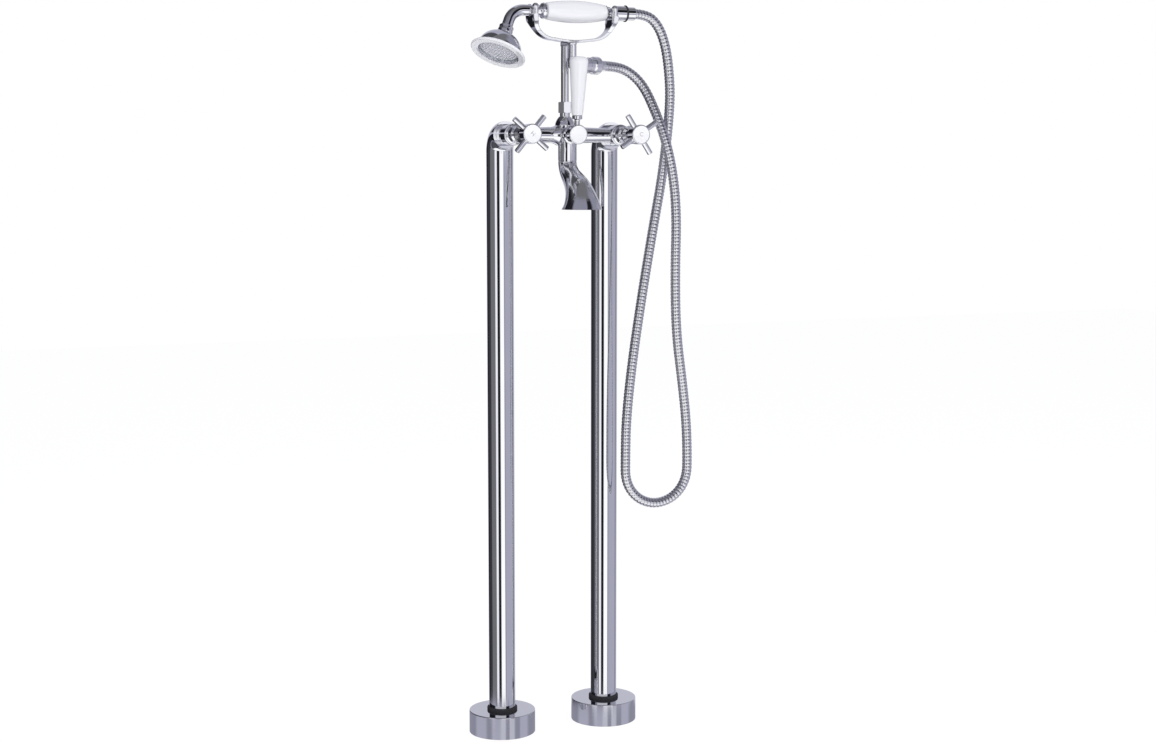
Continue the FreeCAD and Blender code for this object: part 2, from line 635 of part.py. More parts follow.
def handle_screw(x):
    """Screw that holds the handle on its spindle."""
    base = valve_centre(x)
    head = SPINDLE_END + 4
    r = SCREW_HEAD_OD / 2
    screw = turned([(SPINDLE_END - 6.5, SCREW_OD / 2), (head, SCREW_OD / 2), (head, r),
                    (head + SCREW_HEAD_THICK * 0.5, r), (head + SCREW_HEAD_THICK, r * 0.6)], base, FORWARD)
    slot = Part.makeBox(SCREW_HEAD_OD, 1.0, 1.0)
    slot.translate(base + FORWARD * (head + SCREW_HEAD_THICK) - Vector(SCREW_HEAD_OD / 2, 0, 0.5))
    return screw.cut(slot)


def index_disc(diameter, face, base):
    """Slightly domed disc that closes a handle's hub."""
    return turned([(index_seat(face), diameter / 2), (face, diameter / 2),
                   dome(face, diameter / 2, DISC_DOME)], base, FORWARD)


# ---------------------------------------------------------------- diverter
def diverter_cartridge():
    base = Vector(0, 0, BAR_HEIGHT)
    start = DIVERTER_BARREL_END - DIVERTER_DEPTH + REST_GAP
    r = DIVERTER_BORE / 2 - SLIP
    body = turned([(start, r - 0.6), (start + 0.6, r), (DIVERTER_BARREL_END, r), (DIVERTER_BARREL_END, r - 2),
                   (DIVERTER_BARREL_END + 5, r - 2)], base, FORWARD)
    return body.cut(rod(SPINDLE_OD + 2 * TURN_GAP, start + 5, DIVERTER_BARREL_END + 5, base, FORWARD))


def diverter_bonnet():
    """Turned collar between the diverter's barrel and its lever hub."""
    base = Vector(0, 0, BAR_HEIGHT)
    start, end = DIVERTER_BARREL_END, DIVERTER_BONNET_END
    body = turned([(start, 12.4), (start + 3, 12.4), (start + 4, 10.5), ((start + 6.5, 9.4), (end - 2, 9.8)),
                   (end, 8.8)], base, FORWARD)
    body = body.cut(rod(DIVERTER_BORE - 4 + SLIP, start, start + 5, base, FORWARD))
    return body.cut(rod(SPINDLE_OD + 2 * TURN_GAP, start, end, base, FORWARD))


def diverter_spindle():
    base = Vector(0, 0, BAR_HEIGHT)
    start = DIVERTER_BARREL_END - DIVERTER_DEPTH + REST_GAP + 5.5
    return rod(SPINDLE_OD, start, DIVERTER_SPINDLE_END, base, FORWARD)


def lever_base():
    """Centre of the diverter hub, where the lever's axis starts."""
    return Vector(0, -DIVERTER_HUB_START - LEVER_FORWARD, BAR_HEIGHT)


def lever_axis():
    lean = math.radians(LEVER_LEAN)
    return Vector(0, -math.sin(lean), math.cos(lean))


def diverter_hub():
    """Drum on the diverter's spindle, with a hole for the lever's neck."""
    base = Vector(0, 0, BAR_HEIGHT)
    start, face, outside = DIVERTER_HUB_START, DIVERTER_HUB_FACE, DIVERTER_HUB_OD / 2
    seat = index_seat(face)
    hub = turned([(start, 8.6), ((start + 2.5, 11.8), (start + 5.5, outside)), (face - 1.2, outside),
                  ((face - 0.35, outside - 0.35), (face, outside - 1.2))], base, FORWARD)
    hub = hub.cut(rod(DIVERTER_DISC_OD + 2 * SLIP, seat, face, base, FORWARD))
    hub = hub.cut(rod(SPINDLE_OD, start, DIVERTER_SPINDLE_END, base, FORWARD))
    return hub.cut(rod(ROD_OD, 6, outside + 1, lever_base(), lever_axis()))


def lever_ferrule():
    """Chromed neck and ferrule between the hub and the ceramic lever."""
    base, axis = lever_base(), lever_axis()
    start = DIVERTER_HUB_OD / 2 - 0.05
    neck, wide = LEVER_NECK_OD / 2, LEVER_FERRULE_OD / 2
    body = turned([(start, neck), (LEVER_NECK_END - 2, neck), ((LEVER_NECK_END - 0.8, neck + 0.5),
                                                              (LEVER_NECK_END, wide - 0.8)),
                   (LEVER_NECK_END + 0.8, wide), (LEVER_START - 0.8, wide), (LEVER_START, wide - 0.8)], base, axis)
    body = body.cut(rod(DIVERTER_HUB_OD, -DIVERTER_HUB_OD, DIVERTER_HUB_OD, base, FORWARD))
    return body.cut(rod(ROD_OD, start - 2, LEVER_START, base, axis))


def ceramic_lever():
    base, axis = lever_base(), lever_axis()
    root, head, crown = LEVER_ROOT_OD / 2, LEVER_HEAD_OD / 2, LEVER_CROWN_OD / 2
    body = turned([(LEVER_START, root - 0.9), ((LEVER_START + 0.25, root - 0.3), (LEVER_START + 0.9, root)),
                   (LEVER_WIDEST, head),
                   ((LEVER_END - 0.32 * (LEVER_END - LEVER_WIDEST), head - 0.3 * (head - crown)),
                    (LEVER_END, crown)), dome(LEVER_END, crown, 0.5)], base, axis)
    return body.cut(rod(LEVER_BORE, LEVER_START, ROD_END + 1, base, axis))


def lever_rod():
    """Threaded rod inside the lever, screwed into the hub."""
    return rod(ROD_OD, 6, ROD_END, lever_base(), lever_axis())


# ---------------------------------------------------------------- spout
def spout_curves():
    """The spout's centre line, and a curve of its radius against the distance down its knots."""
    joint = Vector(0, -THROAT_FORWARD, BAR_HEIGHT + THROAT_BOTTOM)
    throat, mouth = THROAT_OD / 2, SPOUT_MOUTH_OD / 2
    knots = [(0, 0, 0), (0.024, 0.1, 0), (0.102, 0.198, 0.02), (0.245, 0.298, 0.066), (0.441, 0.397, 0.152),
             (0.647, 0.504, 0.285), (0.814, 0.626, 0.43), (0.931, 0.771, 0.616), (0.99, 0.901, 0.815),
             (1, 1, 1)]
    line, size = Part.BSplineCurve(), Part.BSplineCurve()
    centres = [joint + FORWARD * (out * SPOUT_REACH) + DOWN * (down * SPOUT_DROP) for out, down, flare in knots]
    sizes = [Vector(k, throat + flare * (mouth - throat), 0) for k, (out, down, flare) in enumerate(knots)]
    steps = [float(k) for k in range(len(knots))]
    pull = DOWN * (0.09 * SPOUT_DROP)
    line.interpolate(Points=centres, Parameters=steps, InitialTangent=pull, FinalTangent=pull, Scale=False)
    size.interpolate(Points=sizes, Parameters=steps)
    return line, size, steps[-1]


def spout_loft(wall, first, past):
    """A solid lofted through round sections of the spout, thinner by a wall and run past its mouth."""
    line, size, last = spout_curves()
    wires = []
    for k in range(SPOUT_RINGS + 1):
        at = first + (last - first) * k / SPOUT_RINGS
        wires.append(steady_circle(size.value(at).y - wall, line.value(at), line.tangent(at)[0]))
    if past > 0:
        wires.append(steady_circle(size.value(last).y - wall, line.value(last) + DOWN * past, DOWN))
    return Part.makeLoft(wires, True, True)


def spout():
    """Swan neck spout, hollow to its bell mouth, with a spigot in the body's throat."""
    base = Vector(0, -THROAT_FORWARD, BAR_HEIGHT + THROAT_BOTTOM)
    spigot = rod(THROAT_BORE - 2 * SLIP, -1, SPOUT_SPIGOT, base, UP)
    groove_top = SPOUT_SEAL_HEIGHT + 0.6 * SEAL_SECTION
    groove = tube(THROAT_BORE, THROAT_BORE - 2 * SEAL_SECTION - 2 * SLIP, groove_top - 1.2 * SEAL_SECTION,
                  groove_top, base, UP)
    body = spout_loft(0, 0, 0).fuse(spigot).cut(groove).cut(spout_loft(SPOUT_WALL, 1, 1))
    return body.cut(rod(WATERWAY, -8, SPOUT_SPIGOT, base, UP))


def spout_seal():
    base = Vector(0, -THROAT_FORWARD, BAR_HEIGHT + THROAT_BOTTOM)
    return ring_seal(THROAT_BORE - 2 * SEAL_SECTION - SLIP, SEAL_SECTION, SPOUT_SEAL_HEIGHT, base, UP)


# ---------------------------------------------------------------- riser and cradle
def riser_pipe():
    base = Vector(0, -BAR_FORWARD, 0)
    return tube(RISER_OD, RISER_OD - 2 * RISER_WALL, RISER_FOOT, RISER_TOP, base, UP)


def riser_nut():
    base = Vector(0, -BAR_FORWARD, 0)
    nut = hexagon(RISER_NUT_FLATS, BAR_HEIGHT + BOSS_TOP, RISER_NUT_TOP, base, UP)
    return nut.cut(rod(RISER_OD + SLIP, BAR_HEIGHT + BOSS_TOP, RISER_NUT_TOP, base, UP))


def arc_point(centre_x, centre_z, radius, degrees):
    angle = math.radians(degrees)
    return Vector(centre_x + radius * math.cos(angle), 0, centre_z + radius * math.sin(angle))


def bow_outline():
    """The bow seen from the front: a broad U, thin in the middle and thicker up its sides."""
    flat = BOW_HALF - BOW_CORNER
    corner_z = BOW_BOTTOM + BOW_SAG + BOW_CORNER
    inner_half = BOW_HALF - BOW_END_THICK
    inner_corner = BOW_CORNER - (BOW_END_THICK + BOW_MID_THICK) / 2
    inner_flat = inner_half - inner_corner
    inner_z = BOW_BOTTOM + BOW_SAG + BOW_MID_THICK + inner_corner

    def side(half, centre, corner, centre_z, sign):
        top = Vector(sign * half, 0, FORK_TOP)
        bend = Vector(sign * half, 0, centre_z)
        via = arc_point(centre, centre_z, corner, -45)
        low = arc_point(centre, centre_z, corner, -90)
        via.x, low.x = sign * via.x, sign * low.x
        return top, bend, via, low

    right = side(BOW_HALF, flat, BOW_CORNER, corner_z, 1)
    left = side(BOW_HALF, flat, BOW_CORNER, corner_z, -1)
    inner_right = side(inner_half, inner_flat, inner_corner, inner_z, 1)
    inner_left = side(inner_half, inner_flat, inner_corner, inner_z, -1)
    edges = [Part.makeLine(left[0], left[1]), Part.Arc(left[1], left[2], left[3]).toShape(),
             Part.Arc(left[3], Vector(0, 0, BOW_BOTTOM), right[3]).toShape(),
             Part.Arc(right[3], right[2], right[1]).toShape(), Part.makeLine(right[1], right[0]),
             Part.makeLine(right[0], inner_right[0]), Part.makeLine(inner_right[0], inner_right[1]),
             Part.Arc(inner_right[1], inner_right[2], inner_right[3]).toShape(),
             Part.Arc(inner_right[3], Vector(0, 0, BOW_BOTTOM + BOW_MID_THICK), inner_left[3]).toShape(),
             Part.Arc(inner_left[3], inner_left[2], inner_left[1]).toShape(),
             Part.makeLine(inner_left[1], inner_left[0]), Part.makeLine(inner_left[0], left[0])]
    return Part.Face(Part.Wire(edges))


def fork_mask(reach):
    """The bow seen from its end: a band that spreads into a fork under the handset's neck."""
    band = BOW_WIDTH / 2
    mid_z = (FORK_FLARE_START + FORK_BASE) / 2

    def spot(y, z):
        return Vector(-BOW_HALF - 1, y, z)

    edges = [Part.makeLine(spot(-band, BOW_BOTTOM - 1), spot(band, BOW_BOTTOM - 1)),
             Part.makeLine(spot(band, BOW_BOTTOM - 1), spot(band, FORK_FLARE_START)),
             Part.Arc(spot(band, FORK_FLARE_START), spot(band + 0.3 * (reach - band), mid_z),
                      spot(reach, FORK_BASE)).toShape(),
             Part.makeLine(spot(reach, FORK_BASE), spot(reach, FORK_TOP)),
             Part.makeLine(spot(reach, FORK_TOP), spot(-reach, FORK_TOP)),
             Part.makeLine(spot(-reach, FORK_TOP), spot(-reach, FORK_BASE)),
             Part.Arc(spot(-reach, FORK_BASE), spot(-band - 0.3 * (reach - band), mid_z),
                      spot(-band, FORK_FLARE_START)).toShape(),
             Part.makeLine(spot(-band, FORK_FLARE_START), spot(-band, BOW_BOTTOM - 1))]
    return Part.Face(Part.Wire(edges)).extrude(ACROSS * (2 * BOW_HALF + 2))


def cradle_yoke():
    """Cradle casting: a link from the riser, a stem for the hose outlet, and a bow with two forks."""
    centre = Vector(0, -CRADLE_FORWARD, 0)
    riser = Vector(0, -BAR_FORWARD, 0)
    reach = PRONG_OFFSET + PRONG_OD / 2
    bow = bow_outline().extrude(FORWARD * (2 * reach))
    bow.translate(Vector(0, reach, 0))
    bow = bow.common(fork_mask(reach))
    bow.translate(centre)
    solids = []
    for sign in (-1, 1):
        for side in (-1, 1):
            at = centre + Vector(sign * SADDLE_X, side * PRONG_OFFSET, 0)
            solids.append(rod(PRONG_OD, FORK_BASE - 1, PRONG_BALL_HEIGHT, at, UP))
            solids.append(Part.makeSphere(PRONG_BALL_OD / 2, at + UP * PRONG_BALL_HEIGHT))
    link_top = RISER_TOP + LINK_HEIGHT
    link = Part.makeBox(LINK_WIDTH, CRADLE_FORWARD - BAR_FORWARD, LINK_HEIGHT)
    link.translate(Vector(-LINK_WIDTH / 2, -CRADLE_FORWARD, RISER_TOP))
    solids.append(link)
    solids.append(turned([(RISER_TOP, RISER_CAP_OD / 2), (link_top - 1, RISER_CAP_OD / 2),
                          (link_top, RISER_CAP_OD / 2 - 1)], riser, UP))
    stem_r, flare_top = STEM_OD / 2, BOW_BOTTOM + BOW_MID_THICK / 2
    solids.append(turned([(STEM_BOTTOM, stem_r), (flare_top - STEM_FLARE, stem_r),
                          ((flare_top - 0.3 * STEM_FLARE, stem_r + 0.3 * STEM_FLARE),
                           (flare_top, stem_r + STEM_FLARE))], centre, UP))
    solids.append(rod(RISER_OD - 2 * RISER_WALL - 2 * SLIP, RISER_TOP - 12, RISER_TOP + 1, riser, UP))
    yoke = bow.multiFuse(solids)
    link_z = RISER_TOP + LINK_HEIGHT / 2
    bores = [rod(STEM_BORE, STEM_BOTTOM, link_z + LINK_BORE / 2, centre, UP),
             rod(STEM_BORE, RISER_TOP - 12, link_z + LINK_BORE / 2, riser, UP),
             rod(LINK_BORE, BAR_FORWARD, CRADLE_FORWARD, Vector(0, 0, link_z), FORWARD),
             rod(NECK_OD + 2 * REST_GAP, -BOW_HALF - 2, BOW_HALF + 2,
                 centre + UP * HANDSET_HEIGHT, ACROSS)]
    return yoke.cut(bores).removeSplitter()


# ---------------------------------------------------------------- hose outlet
def outlet_base():
    return Vector(0, -CRADLE_FORWARD, OUTLET_HEIGHT)


def outlet_axis():
    turn = math.radians(OUTLET_TURN)
    return Vector(math.cos(turn), math.sin(turn), 0)


def hose_outlet():
    """Elbow under the stem with a ring and a threaded tail for the hose nut."""
    base, axis = outlet_base(), outlet_axis()
    upright = rod(OUTLET_BODY_OD - 1, 0, STEM_BOTTOM - OUTLET_HEIGHT, base, UP)
    ball = Part.makeSphere(OUTLET_BODY_OD / 2, base)
    ring_r = OUTLET_RING_OD / 2
    arm = turned([(0, OUTLET_BODY_OD / 2), (OUTLET_RING_START, OUTLET_BODY_OD / 2),
                  (OUTLET_RING_START, ring_r - 1.5), ((OUTLET_RING_START + 0.5, ring_r - 0.5),
                                                      (OUTLET_RING_START + 1.5, ring_r)),
                  (OUTLET_RING_END - 1.5, ring_r), ((OUTLET_RING_END - 0.5, ring_r - 0.5),
                                                    (OUTLET_RING_END, ring_r - 1.5)),
                  (OUTLET_RING_END, OUTLET_THREAD_OD / 2), (OUTLET_THREAD_END, OUTLET_THREAD_OD / 2)], base, axis)
    body = ball.multiFuse([upright, arm])
    bores = [rod(OUTLET_BORE, 0, OUTLET_THREAD_END, base, axis),
             rod(STEM_BORE, 0, STEM_BOTTOM - OUTLET_HEIGHT, base, UP)]
    return body.cut(bores).removeSplitter()


def outlet_washer():
    return tube(OUTLET_THREAD_OD - 1, OUTLET_BORE, OUTLET_THREAD_END, LOWER_LIP_START,
                outlet_base(), outlet_axis())


def lower_hose_nut():
    """Knurled nut that holds the hose's lower end on the outlet."""
    base, axis = outlet_base(), outlet_axis()
    neck, bulge = LOWER_NUT_NECK_OD / 2, LOWER_NUT_OD / 2
    body = turned([(LOWER_NUT_START, neck), (LOWER_NUT_BULGE - 1.5, neck),
                   ((LOWER_NUT_BULGE - 0.2, neck + 0.8), (LOWER_NUT_BULGE + 1.5, bulge)),
                   (LOWER_NUT_END - 3.5, bulge), ((LOWER_NUT_END - 1, bulge - 1), (LOWER_NUT_END, bulge - 3.5))],
                  base, axis)
    body = body.cut(rod(OUTLET_THREAD_OD + 2 * SLIP, LOWER_NUT_START, LOWER_LIP_END + 0.3, base, axis))
    return body.cut(rod(FERRULE_OD + 2 * SLIP, LOWER_NUT_START, LOWER_NUT_END, base, axis))


def lower_hose_ferrule():
    base, axis = outlet_base(), outlet_axis()
    body = turned([(LOWER_LIP_START, FERRULE_LIP_OD / 2), (LOWER_LIP_END, FERRULE_LIP_OD / 2),
                   (LOWER_LIP_END, FERRULE_OD / 2), (LOWER_FERRULE_END - 0.8, FERRULE_OD / 2),
                   (LOWER_FERRULE_END, FERRULE_OD / 2 - 0.8)], base, axis)
    return body.cut(rod(HOSE_BORE, LOWER_LIP_START, LOWER_FERRULE_END, base, axis))


# ---------------------------------------------------------------- handset
def handset_base():
    return Vector(0, -CRADLE_FORWARD, HANDSET_HEIGHT)


def rolled(shape):
    """Roll a piece of the handset forward about the handset's own axis."""
    shape.rotate(handset_base(), -ACROSS, HANDSET_ROLL)
    return shape


def arm_points():
    """The arm's centre line before its roll: neck, start and end of the bend, and its end."""
    base, turn = handset_base(), math.radians(ARM_TURN)
    start = base - ACROSS * ARM_BEND_START
    half = turn / 2
    middle = start + Vector(-ARM_BEND * math.sin(half), 0, -ARM_BEND * (1 - math.cos(half)))
    end = start + Vector(-ARM_BEND * math.sin(turn), 0, -ARM_BEND * (1 - math.cos(turn)))
    direction = Vector(-math.cos(turn), 0, -math.sin(turn))
    return start, middle, end, direction


def arm_path(neck_x):
    start, middle, end, direction = arm_points()
    neck = handset_base() - ACROSS * neck_x
    return Part.Wire([Part.makeLine(neck, start), Part.Arc(start, middle, end).toShape(),
                      Part.makeLine(end, end + direction * ARM_DROP)])


def rose_base():
    """Where the rose joins the arm's collar, before the roll."""
    start, middle, end, direction = arm_points()
    return end + direction * (ARM_DROP + ROSE_COLLAR_LENGTH), direction


def handset_arm():
    """Curved arm with the left neck at one end and the rose's collar at the other."""
    start, middle, end, direction = arm_points()
    collar_at = end + direction * ARM_DROP
    r, length = ROSE_COLLAR_OD / 2, ROSE_COLLAR_LENGTH
    collar = turned([(0, ARM_OD / 2), (0.6, r - 1.4), ((1.2, r - 0.5), (2.6, r - 0.3)), (4.6, r - 0.5),
                     (5.2, r - 1.2), (5.8, r - 0.3), ((length - 4, r), (length - 1.2, r - 0.4)),
                     (length, r - 1.2)], collar_at, direction)
    neck = rod(NECK_OD, -COLLAR_START, NECK_END, handset_base(), -ACROSS)
    arm = swept(ARM_OD, arm_path(NECK_END)).multiFuse([collar, neck])
    bores = [swept(ARM_BORE, arm_path(NECK_END)), rod(ARM_BORE, -0.5, length, collar_at, direction),
             rod(ARM_BORE, -COLLAR_START, NECK_END + 0.5, handset_base(), -ACROSS)]
    return rolled(arm.cut(bores).removeSplitter())


def rose_bell():
    """Chromed dome of the shower rose, with the collar's seat and an inner liner."""
    base, axis = rose_base()
    r, seat = ROSE_OD / 2, ROSE_COLLAR_OD / 2 - 0.6
    liner = ROSE_HEIGHT + RIM_HEIGHT - 1
    dome = turned([(0, seat), ((ROSE_HEIGHT * 0.24, r * 0.72), (ROSE_HEIGHT * 0.86, r - 0.1)),
                   (ROSE_HEIGHT, r), (ROSE_HEIGHT, r - ROSE_LINER_WALL), (liner, r - ROSE_LINER_WALL)], base, axis)
    thin = ROSE_WALL
    plate_back = ROSE_HEIGHT + RIM_HEIGHT - PLATE_RECESS - ROSE_PLATE_THICK
    shelf = r - 2 * ROSE_LINER_WALL - 1.0
    hollow = turned([(thin, seat - thin), ((ROSE_HEIGHT * 0.24 + thin, r * 0.72 - thin),
                                           (plate_back, shelf)),
                     (plate_back, r - 2 * ROSE_LINER_WALL), (liner, r - 2 * ROSE_LINER_WALL)], base, axis)
    return rolled(dome.cut(hollow).cut(rod(ARM_BORE, 0, thin + 1, base, axis)))


def rose_rim():
    """White ring round the face of the rose."""
    base, axis = rose_base()
    low, high, r, soft = ROSE_HEIGHT, ROSE_HEIGHT + RIM_HEIGHT, RIM_OD / 2, RIM_ROUND
    ring = turned([(low, r - soft), ((low + 0.3 * soft, r - 0.3 * soft), (low + soft, r)), (high - soft, r),
                   ((high - 0.3 * soft, r - 0.3 * soft), (high, r - soft))], base, axis)
    return rolled(ring.cut(rod(ROSE_OD - 2 * ROSE_LINER_WALL, low, high, base, axis)))


def rose_plate():
    """Perforated spray plate, with its holes in rings."""
    base, axis = rose_base()
    front = ROSE_HEIGHT + RIM_HEIGHT - PLATE_RECESS
    back = front - ROSE_PLATE_THICK
    plate = rod(ROSE_OD - 4 * ROSE_LINER_WALL - SLIP, back, front, base, axis)
    holes = [rod(SPRAY_HOLE, back, front, base, axis)]
    across = Rotation(UP, axis).multVec(ACROSS)
    for ring in range(1, SPRAY_RINGS + 1):
        count = 6 * ring
        for k in range(count):
            spin = Rotation(axis, 360.0 * k / count)
            offset = spin.multVec(across) * (SPRAY_PITCH * ring)
            holes.append(rod(SPRAY_HOLE, back, front, base + offset, axis))
    return rolled(plate.cut(holes))


def grip_collar():
    """Flared collar between the arm's neck and the ceramic grip."""
    base = handset_base()
    start, end, bulge = COLLAR_START, GRIP_START, COLLAR_BULGE_OD / 2
    body = turned([(start, NECK_OD / 2 - 0.4), ((start + 3, NECK_OD / 2 + 0.2), (start + 5.5, bulge - 2.2)),
                   ((start + 8.8, bulge), (end - 0.6, bulge - 0.9)), (end, bulge - 1.4)], base, ACROSS)
    return body.cut(rod(GRIP_TUBE_OD, start, end, base, ACROSS))


def ceramic_grip():
    base = handset_base()
    left, middle, right = GRIP_LEFT_OD / 2, GRIP_MID_OD / 2, GRIP_RIGHT_OD / 2
    centre = (GRIP_START + GRIP_END) / 2
    soft = 1.2
    body = turned([(GRIP_START, left - soft), ((GRIP_START + 0.3 * soft, left - 0.3 * soft),
                                               (GRIP_START + soft, left)),
                   ((centre, middle), (GRIP_END - soft, right)),
                   ((GRIP_END - 0.3 * soft, right - 0.3 * soft), (GRIP_END, right - soft))], base, ACROSS)
    return body.cut(rod(GRIP_TUBE_OD + 2 * SLIP, GRIP_START, GRIP_END, base, ACROSS))


def grip_tube():
    """Water tube through the ceramic grip, from the arm's neck to the tail."""
    return tube(GRIP_TUBE_OD, GRIP_TUBE_BORE, COLLAR_START, NECK_END, handset_base(), ACROSS)


def handset_tail():
    """Tail with the right neck, a plain barrel and a thread for the hose."""
    base = handset_base()
    cone, neck, barrel = TAIL_CONE_OD / 2, NECK_OD / 2, TAIL_BARREL_OD / 2
    body = turned([(GRIP_END, cone - 1), (GRIP_END + 1, cone), ((GRIP_END + 3.2, neck + 1), (NECK_START, neck)),
                   (NECK_END, neck), (NECK_END, barrel - 0.8), (NECK_END + 0.8, barrel),
                   (TAIL_BARREL_END, barrel), (TAIL_BARREL_END, TAIL_THREAD_OD / 2),
                   (TAIL_THREAD_END, TAIL_THREAD_OD / 2)], base, ACROSS)
    body = body.cut(rod(GRIP_TUBE_OD, GRIP_END, NECK_END, base, ACROSS))
    return body.cut(rod(HOSE_BORE, GRIP_END, TAIL_THREAD_END, base, ACROSS))


def tail_ring():
    """Black rubber ring between the tail and the hose nut."""
    base, r = handset_base(), TAIL_RING_OD / 2
    ring = turned([(TAIL_BARREL_END, r - 0.8), (TAIL_BARREL_END + 0.8, r), (TAIL_RING_END - 0.8, r),
                   (TAIL_RING_END, r - 0.8)], base, ACROSS)
    return ring.cut(rod(TAIL_THREAD_OD, TAIL_BARREL_END, TAIL_RING_END, base, ACROSS))


def upper_hose_nut():
    """Cylindrical nut that holds the hose's upper end on the handset."""
    base, r = handset_base(), UPPER_NUT_OD / 2
    nut = turned([(TAIL_RING_END, r), (UPPER_NUT_END - 1.5, r),
                  ((UPPER_NUT_END - 0.4, r - 0.4), (UPPER_NUT_END, r - 1.5))], base, ACROSS)
    nut = nut.cut(rod(TAIL_THREAD_OD, TAIL_RING_END, TAIL_THREAD_END, base, ACROSS))
    return nut.cut(rod(HOSE_BORE, TAIL_RING_END, UPPER_NUT_END, base, ACROSS))


# ---------------------------------------------------------------- hose
def hose_route():
    """The route with its straight ends: out of the handset's nut, and into the lower ferrule."""
    upper = handset_base() + ACROSS * UPPER_NUT_END
    lower = outlet_base() + outlet_axis() * LOWER_FERRULE_END
    middle = [outlet_base() + Vector(*point) for point in HOSE_POINTS]
    return [upper, upper + ACROSS * HOSE_LEAD] + middle + [lower + outlet_axis() * HOSE_LEAD, lower]


def rounded(points):
    """Straight runs joined by tangent arcs, each as large as its two runs allow."""
    edges, radii, last = [], [], points[0]
    for before, corner, after in zip(points, points[1:], points[2:]):
        into, out = corner - before, after - corner
        turn = into.getAngle(out)
        setback = 0.45 * min(into.Length, out.Length)
        radius = setback / math.tan(turn / 2)
        start = corner - into.normalize() * setback
        end = corner + out.normalize() * setback
        inward = (out - into).normalize()
        middle = corner + inward * (radius / math.cos(turn / 2) - radius)
        edges += [Part.makeLine(last, start), Part.Arc(start, middle, end).toShape()]
        radii.append(radius)
        last = end
    edges.append(Part.makeLine(last, points[-1]))
    return Part.Wire(edges), radii


def path_stations(path, distances):
    """Points and directions at rising distances along a wire."""
    stations, walked, edges = [], 0.0, list(path.Edges)
    edge = edges.pop(0)
    for distance in distances:
        while edges and distance > walked + edge.Length:
            walked += edge.Length
            edge = edges.pop(0)
        along = edge.getParameterByLength(min(distance - walked, edge.Length))
        stations.append((edge.valueAt(along), edge.tangentAt(along)))
    return stations


def least_gap(stations, window):
    """The least gap between two stretches of the hose that are further apart than a window."""
    gap = None
    points = [point for point, direction in stations]
    for i, first in enumerate(points):
        for second in points[i + window:]:
            distance = first.distanceToPoint(second) - HOSE_OD
            gap = distance if gap is None else min(gap, distance)
    return gap


def shower_hose():
    """Ribbed hose: a ruled loft through four circles a rib, with its bore."""
    path, radii = rounded(hose_route())
    length = path.Length
    pitch = (length - 2 * HOSE_CUFF) / HOSE_RIBS
    outside, root = HOSE_OD / 2, HOSE_OD / 2 - HOSE_RIB_DEPTH
    distances, sizes = [0.0, HOSE_CUFF - 0.2 * pitch], [outside, outside]
    for rib in range(HOSE_RIBS):
        start = HOSE_CUFF + rib * pitch
        distances += [start, start + 0.25 * pitch, start + 0.5 * pitch, start + 0.75 * pitch]
        sizes += [root, outside, outside, root]
    distances += [length - HOSE_CUFF, length]
    sizes += [outside, outside]
    stations = path_stations(path, distances)
    circles = [steady_circle(size, at, direction) for size, (at, direction) in zip(sizes, stations)]
    bore = path.makePipeShell([steady_circle(HOSE_BORE / 2, *stations[0])], True, False)
    hose = Part.makeLoft(circles, True, True).cut(bore)
    wall = math.pi * ((outside - HOSE_RIB_DEPTH / 2) ** 2 - (HOSE_BORE / 2) ** 2)
    print("hose length %.0f, volume %.0f against %.0f" % (length, hose.Volume, wall * length))
    print("hose radii", " ".join("%.0f" % radius for radius in radii))
    print("hose least gap to itself %.1f" % least_gap(stations, 4 * 12))
    print("hose valid", hose.isValid(), "solids", len(hose.Solids))
    return hose


# ---------------------------------------------------------------- export
def export(shape, node):
    shape.exportStep("parts/" + node + ".step")


